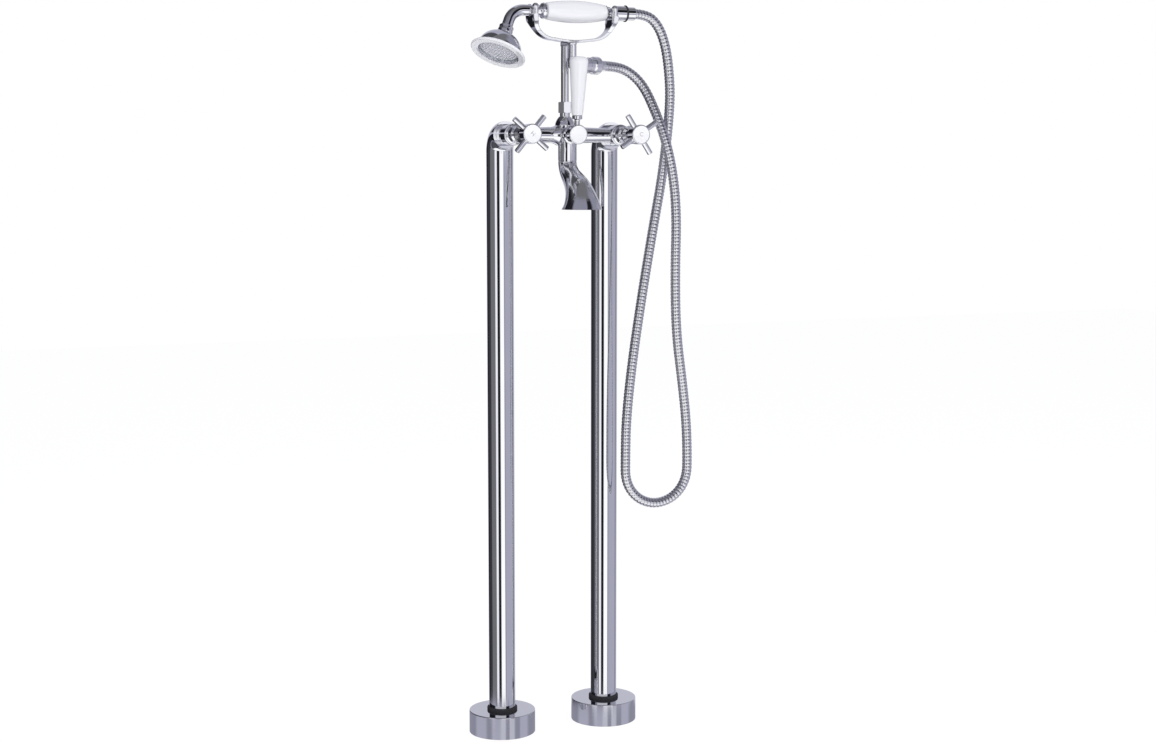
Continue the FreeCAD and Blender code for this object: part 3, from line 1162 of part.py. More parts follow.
def main():
    os.makedirs("parts", exist_ok=True)
    for side, x, turn in (("left", LEFT, LEFT_REST_TURN), ("right", RIGHT, RIGHT_REST_TURN)):
        export(floor_plate(x), side + "_floor_plate")
        export(flange_cover(x), side + "_flange_cover")
        export(collar_ring(x), side + "_collar_ring")
        export(post(x), side + "_post")
        export(supply_pipe(x), side + "_supply_pipe")
        export(elbow(x), side + "_elbow")
        export(union(x), side + "_union")
        export(union_shroud(x), side + "_union_shroud")
        export(cartridge(x), side + "_cartridge")
        export(bonnet(x), side + "_bonnet")
        export(spindle(x), side + "_spindle")
        export(cross_handle(x, turn), side + "_cross_handle")
        export(handle_screw(x), side + "_handle_screw")
        export(index_disc(DISC_OD, HUB_FACE, valve_centre(x)), side + "_index_disc")
    export(pipe_seals(), "pipe_seals")
    export(union_washers(), "union_washers")
    export(mixer_body(), "mixer_body")
    export(diverter_cartridge(), "diverter_cartridge")
    export(diverter_bonnet(), "diverter_bonnet")
    export(diverter_spindle(), "diverter_spindle")
    export(diverter_hub(), "diverter_hub")
    export(index_disc(DIVERTER_DISC_OD, DIVERTER_HUB_FACE, Vector(0, 0, BAR_HEIGHT)), "diverter_disc")
    export(lever_ferrule(), "lever_ferrule")
    export(ceramic_lever(), "ceramic_lever")
    export(lever_rod(), "lever_rod")
    export(spout(), "spout")
    export(spout_seal(), "spout_seal")
    export(riser_pipe(), "riser_pipe")
    export(riser_nut(), "riser_nut")
    export(cradle_yoke(), "cradle_yoke")
    export(hose_outlet(), "hose_outlet")
    export(outlet_washer(), "outlet_washer")
    export(lower_hose_nut(), "lower_hose_nut")
    export(lower_hose_ferrule(), "lower_hose_ferrule")
    export(handset_arm(), "handset_arm")
    export(rose_bell(), "rose_bell")
    export(rose_rim(), "rose_rim")
    export(rose_plate(), "rose_plate")
    export(grip_collar(), "grip_collar")
    export(ceramic_grip(), "ceramic_grip")
    export(grip_tube(), "grip_tube")
    export(handset_tail(), "handset_tail")
    export(tail_ring(), "tail_ring")
    export(upper_hose_nut(), "upper_hose_nut")
    export(shower_hose(), "shower_hose")


main()
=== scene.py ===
import math

import bmesh
import bpy
from mathutils import Euler, Matrix, Vector


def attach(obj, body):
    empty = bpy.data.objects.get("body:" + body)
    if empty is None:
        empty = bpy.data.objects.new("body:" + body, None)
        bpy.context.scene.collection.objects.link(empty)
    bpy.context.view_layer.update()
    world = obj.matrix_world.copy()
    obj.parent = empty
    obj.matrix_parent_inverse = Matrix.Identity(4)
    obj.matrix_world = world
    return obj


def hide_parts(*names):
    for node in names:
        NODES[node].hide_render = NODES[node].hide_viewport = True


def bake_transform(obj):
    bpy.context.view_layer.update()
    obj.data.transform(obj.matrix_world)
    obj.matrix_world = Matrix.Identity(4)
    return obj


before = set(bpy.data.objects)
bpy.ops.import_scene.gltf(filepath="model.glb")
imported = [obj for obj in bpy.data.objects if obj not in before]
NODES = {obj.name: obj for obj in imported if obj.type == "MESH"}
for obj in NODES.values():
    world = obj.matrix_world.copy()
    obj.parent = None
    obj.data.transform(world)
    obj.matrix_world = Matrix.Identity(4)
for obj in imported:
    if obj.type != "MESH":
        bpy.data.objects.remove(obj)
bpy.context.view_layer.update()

bl_info = {
    "name": "Floor Standing Bath Filler",
    "version": (1, 0, 0),
    "blender": (4, 5, 0),
    "location": "View3D > Sidebar > Bath Filler",
    "description": "Dresses a floor standing bath filler: chrome, white ceramic and a ribbed shower hose",
    "category": "Object",
}

# ------------------------------------------------------------------ places and sizes, in metres
BAR_HEIGHT = 0.856          # middle of the mixer's bar, the valves and their discs
VALVE_X = 0.080             # each valve, out from the middle
EASED_EDGE = 0.0016         # rounding that polishing gives the cradle's edges
CAST_COARSENESS = 2.4       # roughness of the cast spout's plating, over that of the turned pieces

DISC_FACE = 0.126           # front edge of the valves' discs, forward of the legs' plane
DISC_RADIUS = 0.0117
DISC_DOME = 0.00035         # rise of a disc's middle over its edge
LETTER_SIZE = 0.0085
PRINT_HALF = 0.00003        # half the thickness of the printed letters
WELD_REACH = 1e-6           # points closer than this are one

ROSE_FACE = Vector((-0.113096, -0.087155, 0.968304))    # middle of the spray plate's face
ROSE_AXIS = Vector((-0.4067, -0.2364, -0.8824))         # the way it sprays
SPRAY_RADIUS = 0.02802
SPRAY_THICK = 0.0018
SPRAY_SIDES = 96
SPRAY_EASE = 0.25           # rounding of the plate's edges, as a share of its thickness
NOZZLE_RINGS = 6
NOZZLE_PITCH = 0.0042
NOZZLE_OD = 0.0027
NOZZLE_HEIGHT = 0.0010
NOZZLE_SUNK = 0.0002
NOZZLE_SIDES = 14
NOZZLE_FOOT = 0.5           # radii of a nozzle's foot and tip and of its hole's black plug of painted shade, as shares of its diameter
NOZZLE_TIP = 0.36
NOZZLE_SHADE_PLUG = 0.12
SHADE_PLUG_PROUD = 1.04           # the hole's black plug, painted shade in place of a real hollow, as a share of the nozzle's height

HOSE_SIDES = 28
STEPS_PER_RIB = 8.0
GROOVE_POWER = 3.0          # how narrow the grooves are against the ribs

# The hose's route, from the handset down and round to the outlet.
HOSE_ROUTE = [
    (0.0934, -0.0725, 1.0230), (0.1125, -0.0725, 1.0228), (0.1300, -0.0720, 1.0090),
    (0.1415, -0.0720, 0.9830), (0.1480, -0.0715, 0.9450), (0.1520, -0.0680, 0.9000),
    (0.1440, -0.0630, 0.8080), (0.1280, -0.0640, 0.7280), (0.1090, -0.0670, 0.6300),
    (0.0920, -0.0700, 0.5300), (0.0830, -0.0720, 0.4550), (0.0820, -0.0720, 0.4020),
    (0.0820, -0.0720, 0.3645), (0.1005, -0.0730, 0.3390), (0.1300, -0.0730, 0.3295),
    (0.1595, -0.0740, 0.3390), (0.1780, -0.0750, 0.3645), (0.1780, -0.0760, 0.4020),
    (0.1760, -0.0760, 0.4500), (0.1690, -0.0770, 0.5050), (0.1570, -0.0800, 0.5780),
    (0.1540, -0.0820, 0.6650), (0.1550, -0.0840, 0.7400), (0.1500, -0.0840, 0.7970),
    (0.1390, -0.0820, 0.8480), (0.1275, -0.0680, 0.8915), (0.1175, -0.0550, 0.9230),
    (0.1010, -0.0505, 0.9415), (0.07824, -0.05154, 0.9515), (0.05409, -0.05801, 0.9515),
]

# ------------------------------------------------------------------ stage
CAMERA_PLACE = (-0.9889, -2.4173, 0.8135)
CAMERA_TILT = math.radians(90.0 - 6.4)
CAMERA_TURN = math.radians(-23.04)      # the photograph's viewpoint, turned about the upright axis
SENSOR_WIDTH = 36.0
FLOOR_REACH = 6.0
FLOOR_GLOW = 1.12           # the floor's own white, over the backdrop's
FLOOR_SHADE = 0.2           # how much of the object's shadow shows in it
ROOM_LIGHT = 0.55           # what the world adds to surfaces that don't mirror it

# Each lamp's name, place, target, size and power.
LAMPS = [
    ("key", (-1.2, -2.6, 1.5), (0.0, 0.0, 0.6), 1.6, 33.0),
    ("fill", (2.2, -1.6, 1.2), (0.0, 0.0, 0.6), 1.8, 17.0),
    ("top", (0.0, 0.3, 2.8), (0.0, 0.0, 0.4), 2.0, 6.0),
]


# ------------------------------------------------------------------ settings
class ChromeFinish(bpy.types.PropertyGroup):
    """How the bright plating looks."""
    colour: bpy.props.FloatVectorProperty(
        name="Chrome Colour", description="Colour that the plating reflects", subtype="COLOR", size=3,
        min=0.0, max=1.0, default=(0.78, 0.785, 0.81))
    polish: bpy.props.FloatProperty(
        name="Polish", description="Roughness of the polished plating", subtype="FACTOR",
        min=0.0, max=1.0, default=0.045)
    satin: bpy.props.FloatProperty(
        name="Satin", description="Roughness of the spray plate", subtype="FACTOR",
        min=0.0, max=1.0, default=0.38)


class CeramicFinish(bpy.types.PropertyGroup):
    """How the white glazed pieces look."""
    colour: bpy.props.FloatVectorProperty(
        name="Glaze Colour", description="Colour of the glazed ceramic", subtype="COLOR", size=3,
        min=0.0, max=1.0, default=(0.90, 0.90, 0.925))


class HoseShape(bpy.types.PropertyGroup):
    """Sizes of the ribbed shower hose."""
    diameter: bpy.props.FloatProperty(
        name="Hose Diameter", description="Outside diameter over the ribs", unit="LENGTH",
        min=0.008, max=0.030, default=0.0140)
    rib_pitch: bpy.props.FloatProperty(
        name="Rib Pitch", description="Distance from one rib to the next", unit="LENGTH",
        min=0.002, max=0.020, default=0.00495)
    rib_depth: bpy.props.FloatProperty(
        name="Rib Depth", description="Depth of the groove between two ribs", unit="LENGTH",
        min=0.0001, max=0.003, default=0.0007)
    length: bpy.props.FloatProperty(
        name="Hose Length", description="Real length of the hose between its two fittings", unit="LENGTH",
        min=0.5, max=3.0, default=1.45)


class StageLook(bpy.types.PropertyGroup):
    """Studio round the bath filler."""
    lens: bpy.props.FloatProperty(
        name="Lens", description="Focal length of the camera in millimetres",
        min=10.0, max=300.0, default=56.98)
    backdrop: bpy.props.FloatProperty(
        name="Backdrop", description="How bright the background is where the camera sees it",
        min=0.0, max=1.0, default=1.0)
    gleam: bpy.props.FloatProperty(
        name="Gleam", description="How bright the studio is in the plating", min=0.0, max=3.0, default=1.3)


# ------------------------------------------------------------------ helpers
def placed(name, data):
    """A new object with this data, in the scene."""
    thing = bpy.data.objects.new(name, data)
    bpy.context.scene.collection.objects.link(thing)
    return thing


def evaluated_mesh(thing):
    """The plain mesh that an object becomes with its modifiers."""
    return bpy.data.meshes.new_from_object(thing.evaluated_get(bpy.context.evaluated_depsgraph_get()))


def maths(tree, operation, *values):
    """One Math node; its values are numbers or sockets."""
    node = tree.nodes.new("ShaderNodeMath")
    node.operation = operation
    for socket, value in zip(node.inputs, values):
        if isinstance(value, (int, float)):
            socket.default_value = value
        else:
            tree.links.new(value, socket)
    return node.outputs[0]


def sized_tree(name, sizes):
    """An empty Geometry Nodes tree with a named input for each size; returns it and its two end nodes."""
    tree = bpy.data.node_groups.new(name, "GeometryNodeTree")
    tree.interface.new_socket("Geometry", in_out="INPUT", socket_type="NodeSocketGeometry")
    for label, value in sizes:
        socket = tree.interface.new_socket(label, in_out="INPUT", socket_type="NodeSocketFloat")
        socket.default_value = value
    tree.interface.new_socket("Geometry", in_out="OUTPUT", socket_type="NodeSocketGeometry")
    return tree, tree.nodes.new("NodeGroupInput"), tree.nodes.new("NodeGroupOutput")


def coated(tree, geometry, material):
    """Sets a material on a geometry socket."""
    coat = tree.nodes.new("GeometryNodeSetMaterial")
    coat.inputs["Material"].default_value = material
    tree.links.new(geometry, coat.inputs["Geometry"])
    return coat.outputs["Geometry"]


def realized(tree, geometry):
    """Turns instances on a geometry socket into plain geometry."""
    realize = tree.nodes.new("GeometryNodeRealizeInstances")
    tree.links.new(geometry, realize.inputs["Geometry"])
    return realize.outputs["Geometry"]


def baked(base, tree, name):
    """The mesh that an object becomes under a node tree, as an object of its own."""
    modifier = base.modifiers.new("pattern", "NODES")
    modifier.node_group = tree
    mesh = evaluated_mesh(base)
    base.modifiers.remove(modifier)
    return placed(name, mesh)


# ------------------------------------------------------------------ materials
def new_material(name):
    """A node material with a Principled shader; returns the material, its tree and the shader."""
    material = bpy.data.materials.new(name)
    material.use_nodes = True
    tree = material.node_tree
    shader = tree.nodes["Principled BSDF"]
    return material, tree, shader


def noise(tree, scale, detail=3.0, stretch=(1.0, 1.0, 1.0)):
    """Noise on the piece's own coordinates; returns its factor socket."""
    place = tree.nodes.new("ShaderNodeTexCoord")
    mapping = tree.nodes.new("ShaderNodeMapping")
    mapping.inputs["Scale"].default_value = stretch
    texture = tree.nodes.new("ShaderNodeTexNoise")
    texture.inputs["Scale"].default_value = scale
    texture.inputs["Detail"].default_value = detail
    tree.links.new(place.outputs["Object"], mapping.inputs["Vector"])
    tree.links.new(mapping.outputs["Vector"], texture.inputs["Vector"])
    return texture.outputs["Fac"]


def ramp(tree, factor, low, high):
    """Maps a factor onto a range of numbers."""
    spread = tree.nodes.new("ShaderNodeMapRange")
    spread.inputs["To Min"].default_value = low
    spread.inputs["To Max"].default_value = high
    tree.links.new(factor, spread.inputs["Value"])
    return spread.outputs["Result"]


def tint(tree, factor, dark, light):
    """A colour between two, by a factor."""
    mix = tree.nodes.new("ShaderNodeMix")
    mix.data_type = "RGBA"
    mix.inputs[6].default_value = (*dark, 1.0)
    mix.inputs[7].default_value = (*light, 1.0)
    tree.links.new(factor, mix.inputs["Factor"])
    return mix.outputs[2]


def bump(tree, shader, height, strength, distance):
    """Adds a fine relief to a shader."""
    relief = tree.nodes.new("ShaderNodeBump")
    relief.inputs["Strength"].default_value = strength
    relief.inputs["Distance"].default_value = distance
    tree.links.new(height, relief.inputs["Height"])
    tree.links.new(relief.outputs["Normal"], shader.inputs["Normal"])
    return relief


def shaded(colour, factor):
    return tuple(channel * factor for channel in colour)


def polished_chrome(name, colour, roughness, wave=0.008, edge=0.0):
    """Bright plating with faint smears, a trace of orange peel and slightly deeper tone in patches.

    With an edge width, sharp edges mirror as if they were rounded that far by polishing.
    """
    material, tree, shader = new_material(name)
    shader.inputs["Metallic"].default_value = 1.0
    patches = noise(tree, 14.0)
    tree.links.new(tint(tree, patches, shaded(colour, 0.94), colour), shader.inputs["Base Color"])
    smears = noise(tree, 60.0, 4.0, (1.0, 1.0, 0.35))
    tree.links.new(ramp(tree, smears, roughness * 0.5, roughness * 1.5), shader.inputs["Roughness"])
    relief = bump(tree, shader, noise(tree, 70.0, 2.0, (1.0, 1.0, 0.3)), wave, 0.0002)
    if edge:
        eased = tree.nodes.new("ShaderNodeBevel")
        eased.inputs["Radius"].default_value = edge
        tree.links.new(eased.outputs["Normal"], relief.inputs["Normal"])
    return material


def glazed_ceramic(name, colour):
    """White glaze: a soft body colour under a clear glossy coat that is never quite even."""
    material, tree, shader = new_material(name)
    depth = noise(tree, 25.0)
    tree.links.new(tint(tree, depth, shaded(colour, 0.965), colour), shader.inputs["Base Color"])
    tree.links.new(ramp(tree, noise(tree, 90.0), 0.06, 0.14), shader.inputs["Roughness"])
    shader.inputs["IOR"].default_value = 1.52
    shader.inputs["Coat Weight"].default_value = 0.6
    shader.inputs["Coat Roughness"].default_value = 0.03
    bump(tree, shader, noise(tree, 160.0, 2.0), 0.03, 0.0003)
    return material


def moulded_rubber(name):
    """Black rubber with a fine matt grain."""
    material, tree, shader = new_material(name)
    grain = noise(tree, 900.0, 4.0)
    black = tint(tree, grain, (0.006, 0.006, 0.007), (0.016, 0.016, 0.018))
    tree.links.new(black, shader.inputs["Base Color"])
    tree.links.new(ramp(tree, grain, 0.28, 0.42), shader.inputs["Roughness"])
    bump(tree, shader, grain, 0.12, 0.0002)
    return material


def printed_ink(name):
    """Thin worn grey print on the valve discs."""
    material, tree, shader = new_material(name)
    wear = noise(tree, 700.0, 3.0)
    tree.links.new(tint(tree, wear, (0.30, 0.30, 0.33), (0.60, 0.60, 0.63)), shader.inputs["Base Color"])
    tree.links.new(ramp(tree, wear, 0.25, 0.4), shader.inputs["Roughness"])
    return material


def pale_rubber(name):
    """Pale rubber of the spray nozzles."""
    material, tree, shader = new_material(name)
    grain = noise(tree, 900.0, 3.0)
    tree.links.new(tint(tree, grain, (0.78, 0.78, 0.82), (0.88, 0.88, 0.91)), shader.inputs["Base Color"])
    tree.links.new(ramp(tree, grain, 0.35, 0.5), shader.inputs["Roughness"])
    return material


def satin_plate(name, roughness):
    """The spray plate: pale satin metal with a fine blasted grain."""
    material, tree, shader = new_material(name)
    grain = noise(tree, 1400.0, 3.0)
    shader.inputs["Metallic"].default_value = 0.35
    tree.links.new(tint(tree, grain, (0.58, 0.59, 0.64), (0.70, 0.71, 0.76)), shader.inputs["Base Color"])
    tree.links.new(ramp(tree, grain, roughness * 0.85, roughness * 1.2), shader.inputs["Roughness"])
    bump(tree, shader, grain, 0.15, 0.0001)
    return material


def plain_metal(name, dark, light, roughness):
    """Machined or cast metal that sits out of sight."""
    material, tree, shader = new_material(name)
    marks = noise(tree, 180.0, 3.0, (1.0, 1.0, 6.0))
    shader.inputs["Metallic"].default_value = 1.0
    tree.links.new(tint(tree, marks, dark, light), shader.inputs["Base Color"])
    tree.links.new(ramp(tree, marks, roughness * 0.8, roughness * 1.2), shader.inputs["Roughness"])
    bump(tree, shader, marks, 0.1, 0.0002)
    return material


def painted_casting(name):
    """Dark painted casting with a rough skin."""
    material, tree, shader = new_material(name)
    skin = noise(tree, 260.0, 5.0)
    paint_tone = tint(tree, skin, (0.035, 0.035, 0.038), (0.07, 0.07, 0.075))
    tree.links.new(paint_tone, shader.inputs["Base Color"])
    tree.links.new(ramp(tree, skin, 0.5, 0.75), shader.inputs["Roughness"])
    bump(tree, shader, skin, 0.35, 0.0006)
    return material


def paint(material, *names):
    """Gives CAD nodes a material in place of their plain one."""
    for name in names:
        mesh = NODES[name].data
        mesh.materials.clear()
        mesh.materials.append(material)


def pair(name):
    """The left and the right node of a kind."""
    return "left_" + name, "right_" + name


def finish_of(key, build):
    """A finish that several pieces share, made once."""
    return bpy.data.materials.get(key) or build(key)


def chrome():
    finish = bpy.context.scene.filler_chrome
    return finish_of("polished_chrome",
                     lambda key: polished_chrome(key, tuple(finish.colour), finish.polish))


def ceramic():
    finish = bpy.context.scene.filler_ceramic
    return finish_of("white_glaze", lambda key: glazed_ceramic(key, tuple(finish.colour)))


def enamel():
    return finish_of("index_enamel", lambda key: glazed_ceramic(key, (0.93, 0.93, 0.94)))


def rubber():
    return finish_of("black_rubber", moulded_rubber)


def brass():
    return finish_of("machined_brass",
                     lambda key: plain_metal(key, (0.60, 0.46, 0.22), (0.72, 0.57, 0.30), 0.28))


# ------------------------------------------------------------------ operators
class FILLER_OT_legs(bpy.types.Operator):
    """Finish the two legs: posts, elbows, flange covers, rubber rings and what is inside them"""
    bl_idname = "filler.legs"
    bl_label = "Legs"

    def execute(self, context):
        paint(chrome(), *pair("flange_cover"), *pair("post"), *pair("elbow"), *pair("union_shroud"))
        paint(rubber(), *pair("collar_ring"), "pipe_seals", "union_washers")
        paint(painted_casting("cast_base"), *pair("floor_plate"))
        paint(plain_metal("copper_tube", (0.62, 0.30, 0.18), (0.72, 0.40, 0.26), 0.3), *pair("supply_pipe"))
        paint(brass(), *pair("union"))
        return {"FINISHED"}


class FILLER_OT_valves(bpy.types.Operator):
    """Finish the mixer body, its two valves and their cross handles"""
    bl_idname = "filler.valves"
    bl_label = "Mixer and Valves"

    def execute(self, context):
        paint(chrome(), "mixer_body", *pair("bonnet"), *pair("cross_handle"))
        paint(enamel(), *pair("index_disc"))
        ink = printed_ink("index_ink")
        for side, letter, x, turn in (("left", "H", -VALVE_X, -45.0), ("right", "C", VALVE_X, 0.0)):
            label = index_letter(side + "_index_letter", letter, x, turn)
            label.data.materials.append(ink)
            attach(label, side + "_handle")
        paint(brass(), *pair("cartridge"), *pair("spindle"))
        paint(chrome(), *pair("handle_screw"))
        return {"FINISHED"}


def index_letter(name, letter, x, turn):
    """A letter printed on a valve's domed disc, turned as its handle stands."""
    curve = bpy.data.curves.new(name, "FONT")
    curve.body = letter
    curve.size = LETTER_SIZE
    curve.extrude = PRINT_HALF
    curve.align_x = "CENTER"
    curve.align_y = "CENTER"
    text = placed(name, curve)
    mesh = evaluated_mesh(text)
    bpy.data.objects.remove(text)
    spin = Matrix.Rotation(math.radians(turn), 4, "Z")
    for vertex in mesh.vertices:
        flat = spin @ vertex.co
        rise = DISC_DOME * (1.0 - (flat.x ** 2 + flat.y ** 2) / DISC_RADIUS ** 2)
        vertex.co = (x + flat.x, -DISC_FACE - rise - PRINT_HALF - flat.z, BAR_HEIGHT + flat.y)
    bm = bmesh.new()
    bm.from_mesh(mesh)
    bmesh.ops.remove_doubles(bm, verts=bm.verts, dist=WELD_REACH)
    bmesh.ops.recalc_face_normals(bm, faces=bm.faces)
    bm.to_mesh(mesh)
    bm.free()
    return placed(name, mesh)


class FILLER_OT_diverter(bpy.types.Operator):
    """Finish the diverter, its hub and the ceramic lever"""
    bl_idname = "filler.diverter"
    bl_label = "Diverter Lever"

    def execute(self, context):
        paint(chrome(), "diverter_bonnet", "diverter_hub", "lever_ferrule", "lever_rod")
        paint(enamel(), "diverter_disc")
        paint(brass(), "diverter_cartridge", "diverter_spindle")
        paint(ceramic(), "ceramic_lever")
        return {"FINISHED"}


class FILLER_OT_spout(bpy.types.Operator):
    """Finish the swan neck spout"""
    bl_idname = "filler.spout"
    bl_label = "Spout"

    def execute(self, context):
        finish = context.scene.filler_chrome
        cast = polished_chrome("cast_chrome", tuple(finish.colour), finish.polish * CAST_COARSENESS)
        paint(cast, "spout")
        paint(rubber(), "spout_seal")
        return {"FINISHED"}


class FILLER_OT_cradle(bpy.types.Operator):
    """Finish the riser, the cradle and the hose outlet"""
    bl_idname = "filler.cradle"
    bl_label = "Riser and Cradle"

    def execute(self, context):
        finish = context.scene.filler_chrome
        paint(chrome(), "riser_pipe", "riser_nut", "hose_outlet", "lower_hose_nut", "lower_hose_ferrule")
        eased = polished_chrome("cradle_chrome", tuple(finish.colour), finish.polish, edge=EASED_EDGE)
        paint(eased, "cradle_yoke")
        paint(rubber(), "outlet_washer")
        return {"FINISHED"}


class FILLER_OT_handset(bpy.types.Operator):
    """Finish the hand shower: arm, ceramic grip, rose and hose nut"""
    bl_idname = "filler.handset"
    bl_label = "Hand Shower"

    def execute(self, context):
        finish = context.scene.filler_chrome
        paint(chrome(), "handset_arm", "grip_collar", "handset_tail", "upper_hose_nut", "rose_bell")
        paint(brass(), "grip_tube")
        paint(ceramic(), "ceramic_grip", "rose_rim")
        paint(rubber(), "tail_ring")
        plate = spray_face(satin_plate("spray_satin", finish.satin), pale_rubber("nozzle_rubber"))
        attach(plate, "handset")
        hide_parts("rose_plate")
        return {"FINISHED"}


def disc_mesh(bm, radius, thick, sides):
    """A round plate with its front face at the origin and its back behind it along +Z, edges eased."""
    soft = thick * SPRAY_EASE
    rings = [(radius - soft, 0.0), (radius, soft), (radius, thick - soft), (radius - soft, thick)]
    angles = [2 * math.pi * k / sides for k in range(sides)]
    loops = [[bm.verts.new((reach * math.cos(angle), reach * math.sin(angle), z)) for angle in angles]
             for reach, z in rings]
    for lower, upper in zip(loops, loops[1:]):
        for k in range(sides):
            bm.faces.new((lower[k], lower[(k + 1) % sides], upper[(k + 1) % sides], upper[k]))
    bm.faces.new(list(reversed(loops[0])))
    bm.faces.new(loops[-1])


def nozzle_points():
    """Places of the spray nozzles, their feet sunk in the plate: a middle one and rings round it."""
    points = [(0.0, 0.0, NOZZLE_SUNK)]
    for ring in range(1, NOZZLE_RINGS + 1):
        radius = NOZZLE_PITCH * ring
        for k in range(6 * ring):
            angle = 2 * math.pi * (k + 0.5 * (ring % 2)) / (6 * ring)
            points.append((radius * math.cos(angle), radius * math.sin(angle), NOZZLE_SUNK))
    return points


def nozzle_tree(diameter, height, tips, dark):
    """Geometry Nodes that set a small raised nozzle on every point, facing along -Z, with a black plug in it
    as painted shade for its hole.
    """
    sizes = (("Nozzle Diameter", diameter), ("Nozzle Height", height))
    tree, given, out = sized_tree("Spray Nozzles", sizes)
    nodes, links = tree.nodes, tree.links

    def cone(foot, tip, rise, material):
        node = nodes.new("GeometryNodeMeshCone")
        node.inputs["Vertices"].default_value = NOZZLE_SIDES
        for label, share in (("Radius Bottom", foot), ("Radius Top", tip)):
            links.new(maths(tree, "MULTIPLY", given.outputs["Nozzle Diameter"], share), node.inputs[label])
        links.new(maths(tree, "MULTIPLY", given.outputs["Nozzle Height"], rise), node.inputs["Depth"])
        return coated(tree, node.outputs["Mesh"], material)

    joined = nodes.new("GeometryNodeJoinGeometry")
    links.new(cone(NOZZLE_FOOT, NOZZLE_TIP, 1.0, tips), joined.inputs[0])
    # The hole is a black cone a little prouder than the nozzle: painted shade, not a hollow.
    links.new(cone(NOZZLE_SHADE_PLUG, NOZZLE_SHADE_PLUG, SHADE_PLUG_PROUD, dark), joined.inputs[0])
    setter = nodes.new("GeometryNodeInstanceOnPoints")
    setter.inputs["Rotation"].default_value = (math.pi, 0.0, 0.0)
    links.new(given.outputs["Geometry"], setter.inputs["Points"])
    links.new(joined.outputs["Geometry"], setter.inputs["Instance"])
    links.new(realized(tree, setter.outputs["Instances"]), out.inputs[0])
    return tree


def spray_face(metal, tips):
    """The rose's face: an eased plate with rings of small raised nozzles, set square to the rose's axis."""
    dots = bpy.data.meshes.new("nozzle_places")
    dots.from_pydata(nozzle_points(), [], [])
    seed = placed("nozzle_places", dots)
    # The black rubber here is painted shade standing in for the nozzles' holes.
    tree = nozzle_tree(NOZZLE_OD, NOZZLE_HEIGHT, tips, moulded_rubber("nozzle_hole_painted_shade"))
    nozzles = baked(seed, tree, "nozzles")
    bpy.data.objects.remove(seed)
    plate = bpy.data.meshes.new("spray_face")
    bm = bmesh.new()
    bm.from_mesh(nozzles.data)
    nozzle_faces = set(bm.faces)
    disc_mesh(bm, SPRAY_RADIUS, SPRAY_THICK, SPRAY_SIDES)
    for face in bm.faces:
        if face not in nozzle_faces:
            face.material_index = len(nozzles.data.materials)
    turn = Vector((0.0, 0.0, -1.0)).rotation_difference(ROSE_AXIS)
    bmesh.ops.recalc_face_normals(bm, faces=bm.faces)
    place = Matrix.Translation(ROSE_FACE) @ turn.to_matrix().to_4x4()
    bmesh.ops.transform(bm, matrix=place, verts=bm.verts)
    bm.to_mesh(plate)
    bm.free()
    for kind in (*nozzles.data.materials, metal):
        plate.materials.append(kind)
    bpy.data.objects.remove(nozzles)
    return placed("spray_face", plate)


def hose_line(name, points):
    """The hose's centre line: one smooth spline with the route's points as its control points."""
    curve = bpy.data.curves.new(name, "CURVE")
    curve.dimensions = "3D"
    spline = curve.splines.new("NURBS")
    spline.points.add(len(points) - 1)
    for point, place in zip(spline.points, points):
        point.co = (*place, 1.0)
    spline.order_u = 3
    spline.use_endpoint_u = True
    spline.resolution_u = 16
    return placed(name, curve)


def rib_tree(diameter, pitch, depth, material):
    """Geometry Nodes that turn a line into a ribbed hose with round ribs and narrow grooves."""
    sizes = (("Diameter", diameter), ("Rib Pitch", pitch), ("Rib Depth", depth))
    tree, given, out = sized_tree("Hose Ribs", sizes)
    nodes, links = tree.nodes, tree.links
    resample = nodes.new("GeometryNodeResampleCurve")
    resample.mode = "LENGTH"
    links.new(given.outputs["Geometry"], resample.inputs["Curve"])
    links.new(maths(tree, "DIVIDE", given.outputs["Rib Pitch"], STEPS_PER_RIB), resample.inputs["Length"])

    # Each rib is round: the radius falls off on both sides of its middle, by a power of the distance.
    along = nodes.new("GeometryNodeSplineParameter")
    phase = maths(tree, "FRACT", maths(tree, "DIVIDE", along.outputs["Length"], given.outputs["Rib Pitch"]))
    swing = maths(tree, "ABSOLUTE", maths(tree, "SUBTRACT", maths(tree, "MULTIPLY", phase, 2.0), 1.0))
    groove = maths(tree, "MULTIPLY", maths(tree, "POWER", swing, GROOVE_POWER), given.outputs["Rib Depth"])
    radius = maths(tree, "SUBTRACT", maths(tree, "MULTIPLY", given.outputs["Diameter"], 0.5), groove)

    circle = nodes.new("GeometryNodeCurvePrimitiveCircle")
    circle.inputs["Resolution"].default_value = HOSE_SIDES
    circle.inputs["Radius"].default_value = 1.0
    tube = nodes.new("GeometryNodeCurveToMesh")
    tube.inputs["Fill Caps"].default_value = True
    links.new(resample.outputs["Curve"], tube.inputs["Curve"])
    links.new(circle.outputs["Curve"], tube.inputs["Profile Curve"])
    links.new(radius, tube.inputs["Scale"])
    links.new(coated(tree, realized(tree, tube.outputs["Mesh"]), material), out.inputs[0])
    return tree


def line_points(line):
    """Points of the hose's spline, closely spaced, in order."""
    return [tuple(vertex.co) for vertex in evaluated_mesh(line).vertices]


class FILLER_OT_hose(bpy.types.Operator):
    """Make the ribbed shower hose that hangs from the handset to the outlet"""
    bl_idname = "filler.hose"
    bl_label = "Shower Hose"

    def execute(self, context):
        shape = context.scene.filler_hose
        material = polished_chrome("hose_plating", (0.66, 0.66, 0.69), roughness=0.12, wave=0.05)
        line = hose_line("hose_line", HOSE_ROUTE)
        path = line_points(line)
        ribs = rib_tree(shape.diameter, shape.rib_pitch, shape.rib_depth, material)
        hose = baked(line, ribs, "ribbed_hose")
        for polygon in hose.data.polygons:
            polygon.use_smooth = True
        bpy.data.objects.remove(line)
        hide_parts("shower_hose")
        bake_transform(hose)
        return {"FINISHED"}


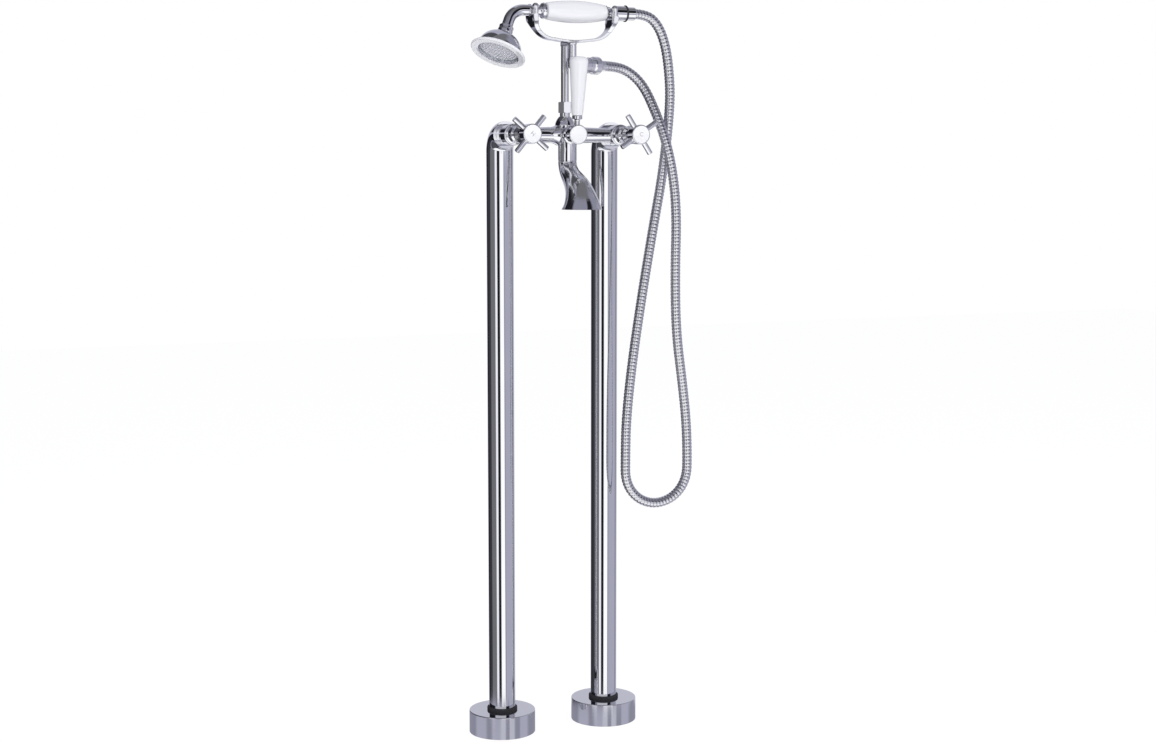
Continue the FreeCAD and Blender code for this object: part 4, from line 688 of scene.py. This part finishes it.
class FILLER_OT_stage(bpy.types.Operator):
    """Set up the floor, the studio light and the camera"""
    bl_idname = "filler.stage"
    bl_label = "Studio"

    def execute(self, context):
        scene = context.scene
        scene.view_settings.view_transform = "Standard"
        look = scene.filler_stage
        camera = placed("camera", bpy.data.cameras.new("camera"))
        camera.data.lens = look.lens
        camera.data.sensor_width = SENSOR_WIDTH
        camera.location = CAMERA_PLACE
        camera.rotation_euler = Euler((CAMERA_TILT, 0.0, CAMERA_TURN))
        scene.camera = camera
        floor = stage_floor(look.backdrop)
        studio_world(look.backdrop, look.gleam)
        for lamp in LAMPS:
            add_lamp(*lamp)
        return {"FINISHED"}


def add_lamp(name, place, target, size, power):
    """A square lamp that lights the object and isn't mirrored in it."""
    lamp = placed(name, bpy.data.lights.new(name, "AREA"))
    lamp.data.size = size
    lamp.data.energy = power
    lamp.visible_glossy = False
    lamp.location = place
    lamp.rotation_euler = (Vector(target) - Vector(place)).to_track_quat("-Z", "Y").to_euler()


def shader_mix(tree, share, first, second):
    """The first shader where the share is 0, the second where it is 1. The share is a number or a socket."""
    mix = tree.nodes.new("ShaderNodeMixShader")
    if isinstance(share, float):
        mix.inputs[0].default_value = share
    else:
        tree.links.new(share, mix.inputs[0])
    tree.links.new(first, mix.inputs[1])
    tree.links.new(second, mix.inputs[2])
    return mix.outputs[0]


def stage_floor(backdrop):
    """A white floor with the object's faint shadow; plating mirrors the studio beyond it."""
    reach = FLOOR_REACH
    mesh = bpy.data.meshes.new("floor")
    mesh.from_pydata([(-reach, -reach, 0), (reach, -reach, 0), (reach, reach, 0), (-reach, reach, 0)],
                     [], [(0, 1, 2, 3)])
    material, tree, shader = new_material("floor_pale")
    nodes = tree.nodes
    shader.inputs["Base Color"].default_value = (0.9, 0.9, 0.9, 1.0)
    shader.inputs["Roughness"].default_value = 0.9
    glow = nodes.new("ShaderNodeEmission")
    glow.inputs["Strength"].default_value = backdrop * FLOOR_GLOW
    clear = nodes.new("ShaderNodeBsdfTransparent")
    rays = nodes.new("ShaderNodeLightPath")
    seen = shader_mix(tree, FLOOR_SHADE, glow.outputs[0], shader.outputs[0])
    unseen = shader_mix(tree, rays.outputs["Is Glossy Ray"], shader.outputs[0], clear.outputs[0])
    surface = shader_mix(tree, rays.outputs["Is Camera Ray"], unseen, seen)
    tree.links.new(surface, nodes["Material Output"].inputs["Surface"])
    mesh.materials.append(material)
    return placed("floor", mesh)


# Tones of the studio that the plating mirrors.
STUDIO_TONES = {
    "white": (1.0, 1.0, 1.0), "bright": (0.86, 0.86, 0.90), "pale": (0.46, 0.46, 0.53),
    "lavender": (0.37, 0.37, 0.45), "shade": (0.24, 0.24, 0.30), "dim": (0.15, 0.15, 0.16),
    "gloom": (0.07, 0.07, 0.08), "soot": (0.035, 0.035, 0.043), "black": (0.010, 0.010, 0.014),
}

# Panels stand round the object in rows, by their turn: from, to (degrees), tone. The turn is 0 towards the
# photograph's viewpoint, 90 at the picture's right, -90 at its left and 180 behind the object. The panels
# stand still, whatever the camera does.
LEFT_PANELS = [
    (-180, -155, "pale"), (-148, -132, "black"), (-115, -92, "soot"), (-83, -44, "dim"),
    (-39, -25, "bright"), (-21, -3, "black"),
]
REAR_PANELS = [(118, 135, "shade"), (150, 180, "pale")]
LOW_PANELS = LEFT_PANELS + [(3, 31, "white"), (35, 38, "shade"), (44, 112, "lavender")] + REAR_PANELS

# Above eye level the white panel is broader, and flat faces turned to the front mirror it.
HIGH_PANELS = LEFT_PANELS + [(3, 56, "bright"), (62, 112, "lavender")] + REAR_PANELS

# Higher still the left side is pale, and the cradle's bow mirrors it.
TOP_PANELS = [
    (-180, -104, "lavender"), (-90, -48, "dim"), (-43, -23, "bright"), (-19, -3, "black"),
    (3, 56, "bright"), (62, 112, "lavender"),
] + REAR_PANELS

# Muted panels close to the floor, which the sides of the feet mirror.
SKIRT_PANELS = [
    (-180, -110, "shade"), (-95, -60, "lavender"), (-50, -38, "shade"), (-30, -8, "lavender"),
    (0, 12, "pale"), (17, 26, "shade"), (30, 43, "pale"), (50, 64, "shade"), (70, 96, "lavender"),
    (110, 180, "shade"),
]

# The rows over the skirt, by the heights in degrees between which each takes over.
WALL_ROWS = [(-16.75, -16.55, LOW_PANELS), (0.2, 1.2, HIGH_PANELS), (3.5, 3.9, TOP_PANELS)]

# Tiers from the floor to the ceiling, by height in degrees, for faces that look up or down: behind the
# object, at its left, in front of it, where the bar mirrors the front's right end, and at its right.
BACK_TIERS = [
    (-90, -58, "shade"), (-50, -34, "bright"), (-26, -14, "black"), (-8, 32, "pale"), (44, 90, "lavender"),
]
LEFT_TIERS = [(-90, -70, "soot"), (-55, -28, "gloom"), (-12, 30, "black"), (45, 90, "gloom")]
FRONT_TIERS = [(-90, -72, "lavender"), (-58, 8, "white"), (22, 44, "shade"), (58, 90, "dim")]
BAR_TIERS = [(-90, -72, "lavender"), (-58, -12, "white"), (0, 40, "black"), (50, 90, "dim")]
RIGHT_TIERS = [
    (-90, -70, "dim"), (-55, -20, "pale"), (-8, 12, "lavender"), (22, 50, "shade"), (62, 90, "dim"),
]

# The tiers after those at the back, by the turns between which each takes over.
TIER_TURNS = [
    (-155, -145, LEFT_TIERS), (-66, -54, FRONT_TIERS), (33, 38, BAR_TIERS), (62, 74, RIGHT_TIERS),
    (140, 150, BACK_TIERS),
]

# The walls' rows show between these heights, and the tiers above and below them.
WALL_FOOT = (-22, -18)
WALL_HEAD = (7, 9)
FULL_TURN = 180.0           # panels' turns run from minus this to this
FULL_RISE = 90.0            # and tiers' heights likewise


def turn_and_height(tree, ray):
    """A ray's turn from the photograph's viewpoint and its height, both in radians."""
    facing = tree.nodes.new("ShaderNodeMapping")
    facing.inputs["Rotation"].default_value = (0.0, 0.0, -CAMERA_TURN)
    tree.links.new(ray, facing.inputs["Vector"])
    split = tree.nodes.new("ShaderNodeSeparateXYZ")
    tree.links.new(facing.outputs["Vector"], split.inputs[0])
    turn = maths(tree, "ARCTAN2", split.outputs["X"], maths(tree, "MULTIPLY", split.outputs["Y"], -1.0))
    return turn, maths(tree, "ARCSINE", split.outputs["Z"])


def crossing(tree, value, start, end, first, second):
    """One colour below an angle and another above it, soft between two angles in degrees."""
    step = tree.nodes.new("ShaderNodeMapRange")
    step.inputs["From Min"].default_value = math.radians(start)
    step.inputs["From Max"].default_value = math.radians(end)
    tree.links.new(value, step.inputs["Value"])
    blend = tree.nodes.new("ShaderNodeMix")
    blend.data_type = "RGBA"
    tree.links.new(step.outputs["Result"], blend.inputs["Factor"])
    tree.links.new(first, blend.inputs[6])
    tree.links.new(second, blend.inputs[7])
    return blend.outputs[2]


def banded(tree, value, span, panels):
    """The tones of a row of panels, soft from one to the next, over a value from -span to span degrees."""
    spread = tree.nodes.new("ShaderNodeMapRange")
    spread.inputs["From Min"].default_value = -math.radians(span)
    spread.inputs["From Max"].default_value = math.radians(span)
    tree.links.new(value, spread.inputs["Value"])
    bands = tree.nodes.new("ShaderNodeValToRGB")
    tree.links.new(spread.outputs["Result"], bands.inputs["Fac"])
    stops = [(edge, tone) for start, end, tone in panels for edge in (start, end)]
    elements = bands.color_ramp.elements
    while len(elements) < len(stops):
        elements.new(0.5)
    for element, (degrees, tone) in zip(elements, stops):
        element.position = (degrees + span) / (2 * span)
        element.color = (*STUDIO_TONES[tone], 1.0)
    return bands.outputs["Color"]


def studio_world(backdrop, gleam):
    """White past the object, and a studio of pale walls and dark gaps that its plating mirrors."""
    world = bpy.data.worlds.new("studio")
    bpy.context.scene.world = world
    world.use_nodes = True
    tree = world.node_tree
    nodes, links = tree.nodes, tree.links
    seen = nodes["Background"]
    seen.inputs["Color"].default_value = (1.0, 1.0, 1.0, 1.0)
    seen.inputs["Strength"].default_value = backdrop
    lit = nodes.new("ShaderNodeBackground")
    lit.inputs["Color"].default_value = (0.93, 0.94, 1.0, 1.0)
    lit.inputs["Strength"].default_value = ROOM_LIGHT
    mirrored = nodes.new("ShaderNodeBackground")
    mirrored.inputs["Strength"].default_value = gleam
    place = nodes.new("ShaderNodeTexCoord")
    turn, height = turn_and_height(tree, place.outputs["Generated"])
    tiers = banded(tree, height, FULL_RISE, BACK_TIERS)
    for start, end, beyond in TIER_TURNS:
        tiers = crossing(tree, turn, start, end, tiers, banded(tree, height, FULL_RISE, beyond))
    walls = banded(tree, turn, FULL_TURN, SKIRT_PANELS)
    for start, end, above in WALL_ROWS:
        walls = crossing(tree, height, start, end, walls, banded(tree, turn, FULL_TURN, above))
    walls = crossing(tree, height, *WALL_HEAD, walls, tiers)
    links.new(crossing(tree, height, *WALL_FOOT, tiers, walls), mirrored.inputs["Color"])
    rays = nodes.new("ShaderNodeLightPath")
    unseen = shader_mix(tree, rays.outputs["Is Glossy Ray"], lit.outputs[0], mirrored.outputs[0])
    surface = shader_mix(tree, rays.outputs["Is Camera Ray"], unseen, seen.outputs[0])
    links.new(surface, nodes["World Output"].inputs["Surface"])


class FILLER_PT_panel(bpy.types.Panel):
    """Lists the bath filler's settings and pieces"""
    bl_idname = "FILLER_PT_panel"
    bl_label = "Bath Filler"
    bl_space_type = "VIEW_3D"
    bl_region_type = "UI"
    bl_category = "Bath Filler"

    def draw(self, context):
        for name, _ in SETTINGS:
            settings = getattr(context.scene, name)
            box = self.layout.box()
            for key in settings.__annotations__:
                box.prop(settings, key)
        for operator in OPERATORS:
            self.layout.operator(operator.bl_idname)


SETTINGS = (("filler_chrome", ChromeFinish), ("filler_ceramic", CeramicFinish), ("filler_hose", HoseShape),
            ("filler_stage", StageLook))
OPERATORS = (FILLER_OT_legs, FILLER_OT_valves, FILLER_OT_diverter, FILLER_OT_spout, FILLER_OT_cradle,
             FILLER_OT_handset, FILLER_OT_hose, FILLER_OT_stage)


def register():
    for key, group in SETTINGS:
        bpy.utils.register_class(group)
        setattr(bpy.types.Scene, key, bpy.props.PointerProperty(type=group))
    for operator in OPERATORS:
        bpy.utils.register_class(operator)
    bpy.utils.register_class(FILLER_PT_panel)


def unregister():
    bpy.utils.unregister_class(FILLER_PT_panel)
    for operator in reversed(OPERATORS):
        bpy.utils.unregister_class(operator)
    for key, group in reversed(SETTINGS):
        delattr(bpy.types.Scene, key)
        bpy.utils.unregister_class(group)


def main():
    register()
    for operator in OPERATORS:
        group, name = operator.bl_idname.split(".")
        getattr(getattr(bpy.ops, group), name)()


if __name__ == "__main__":
    main()
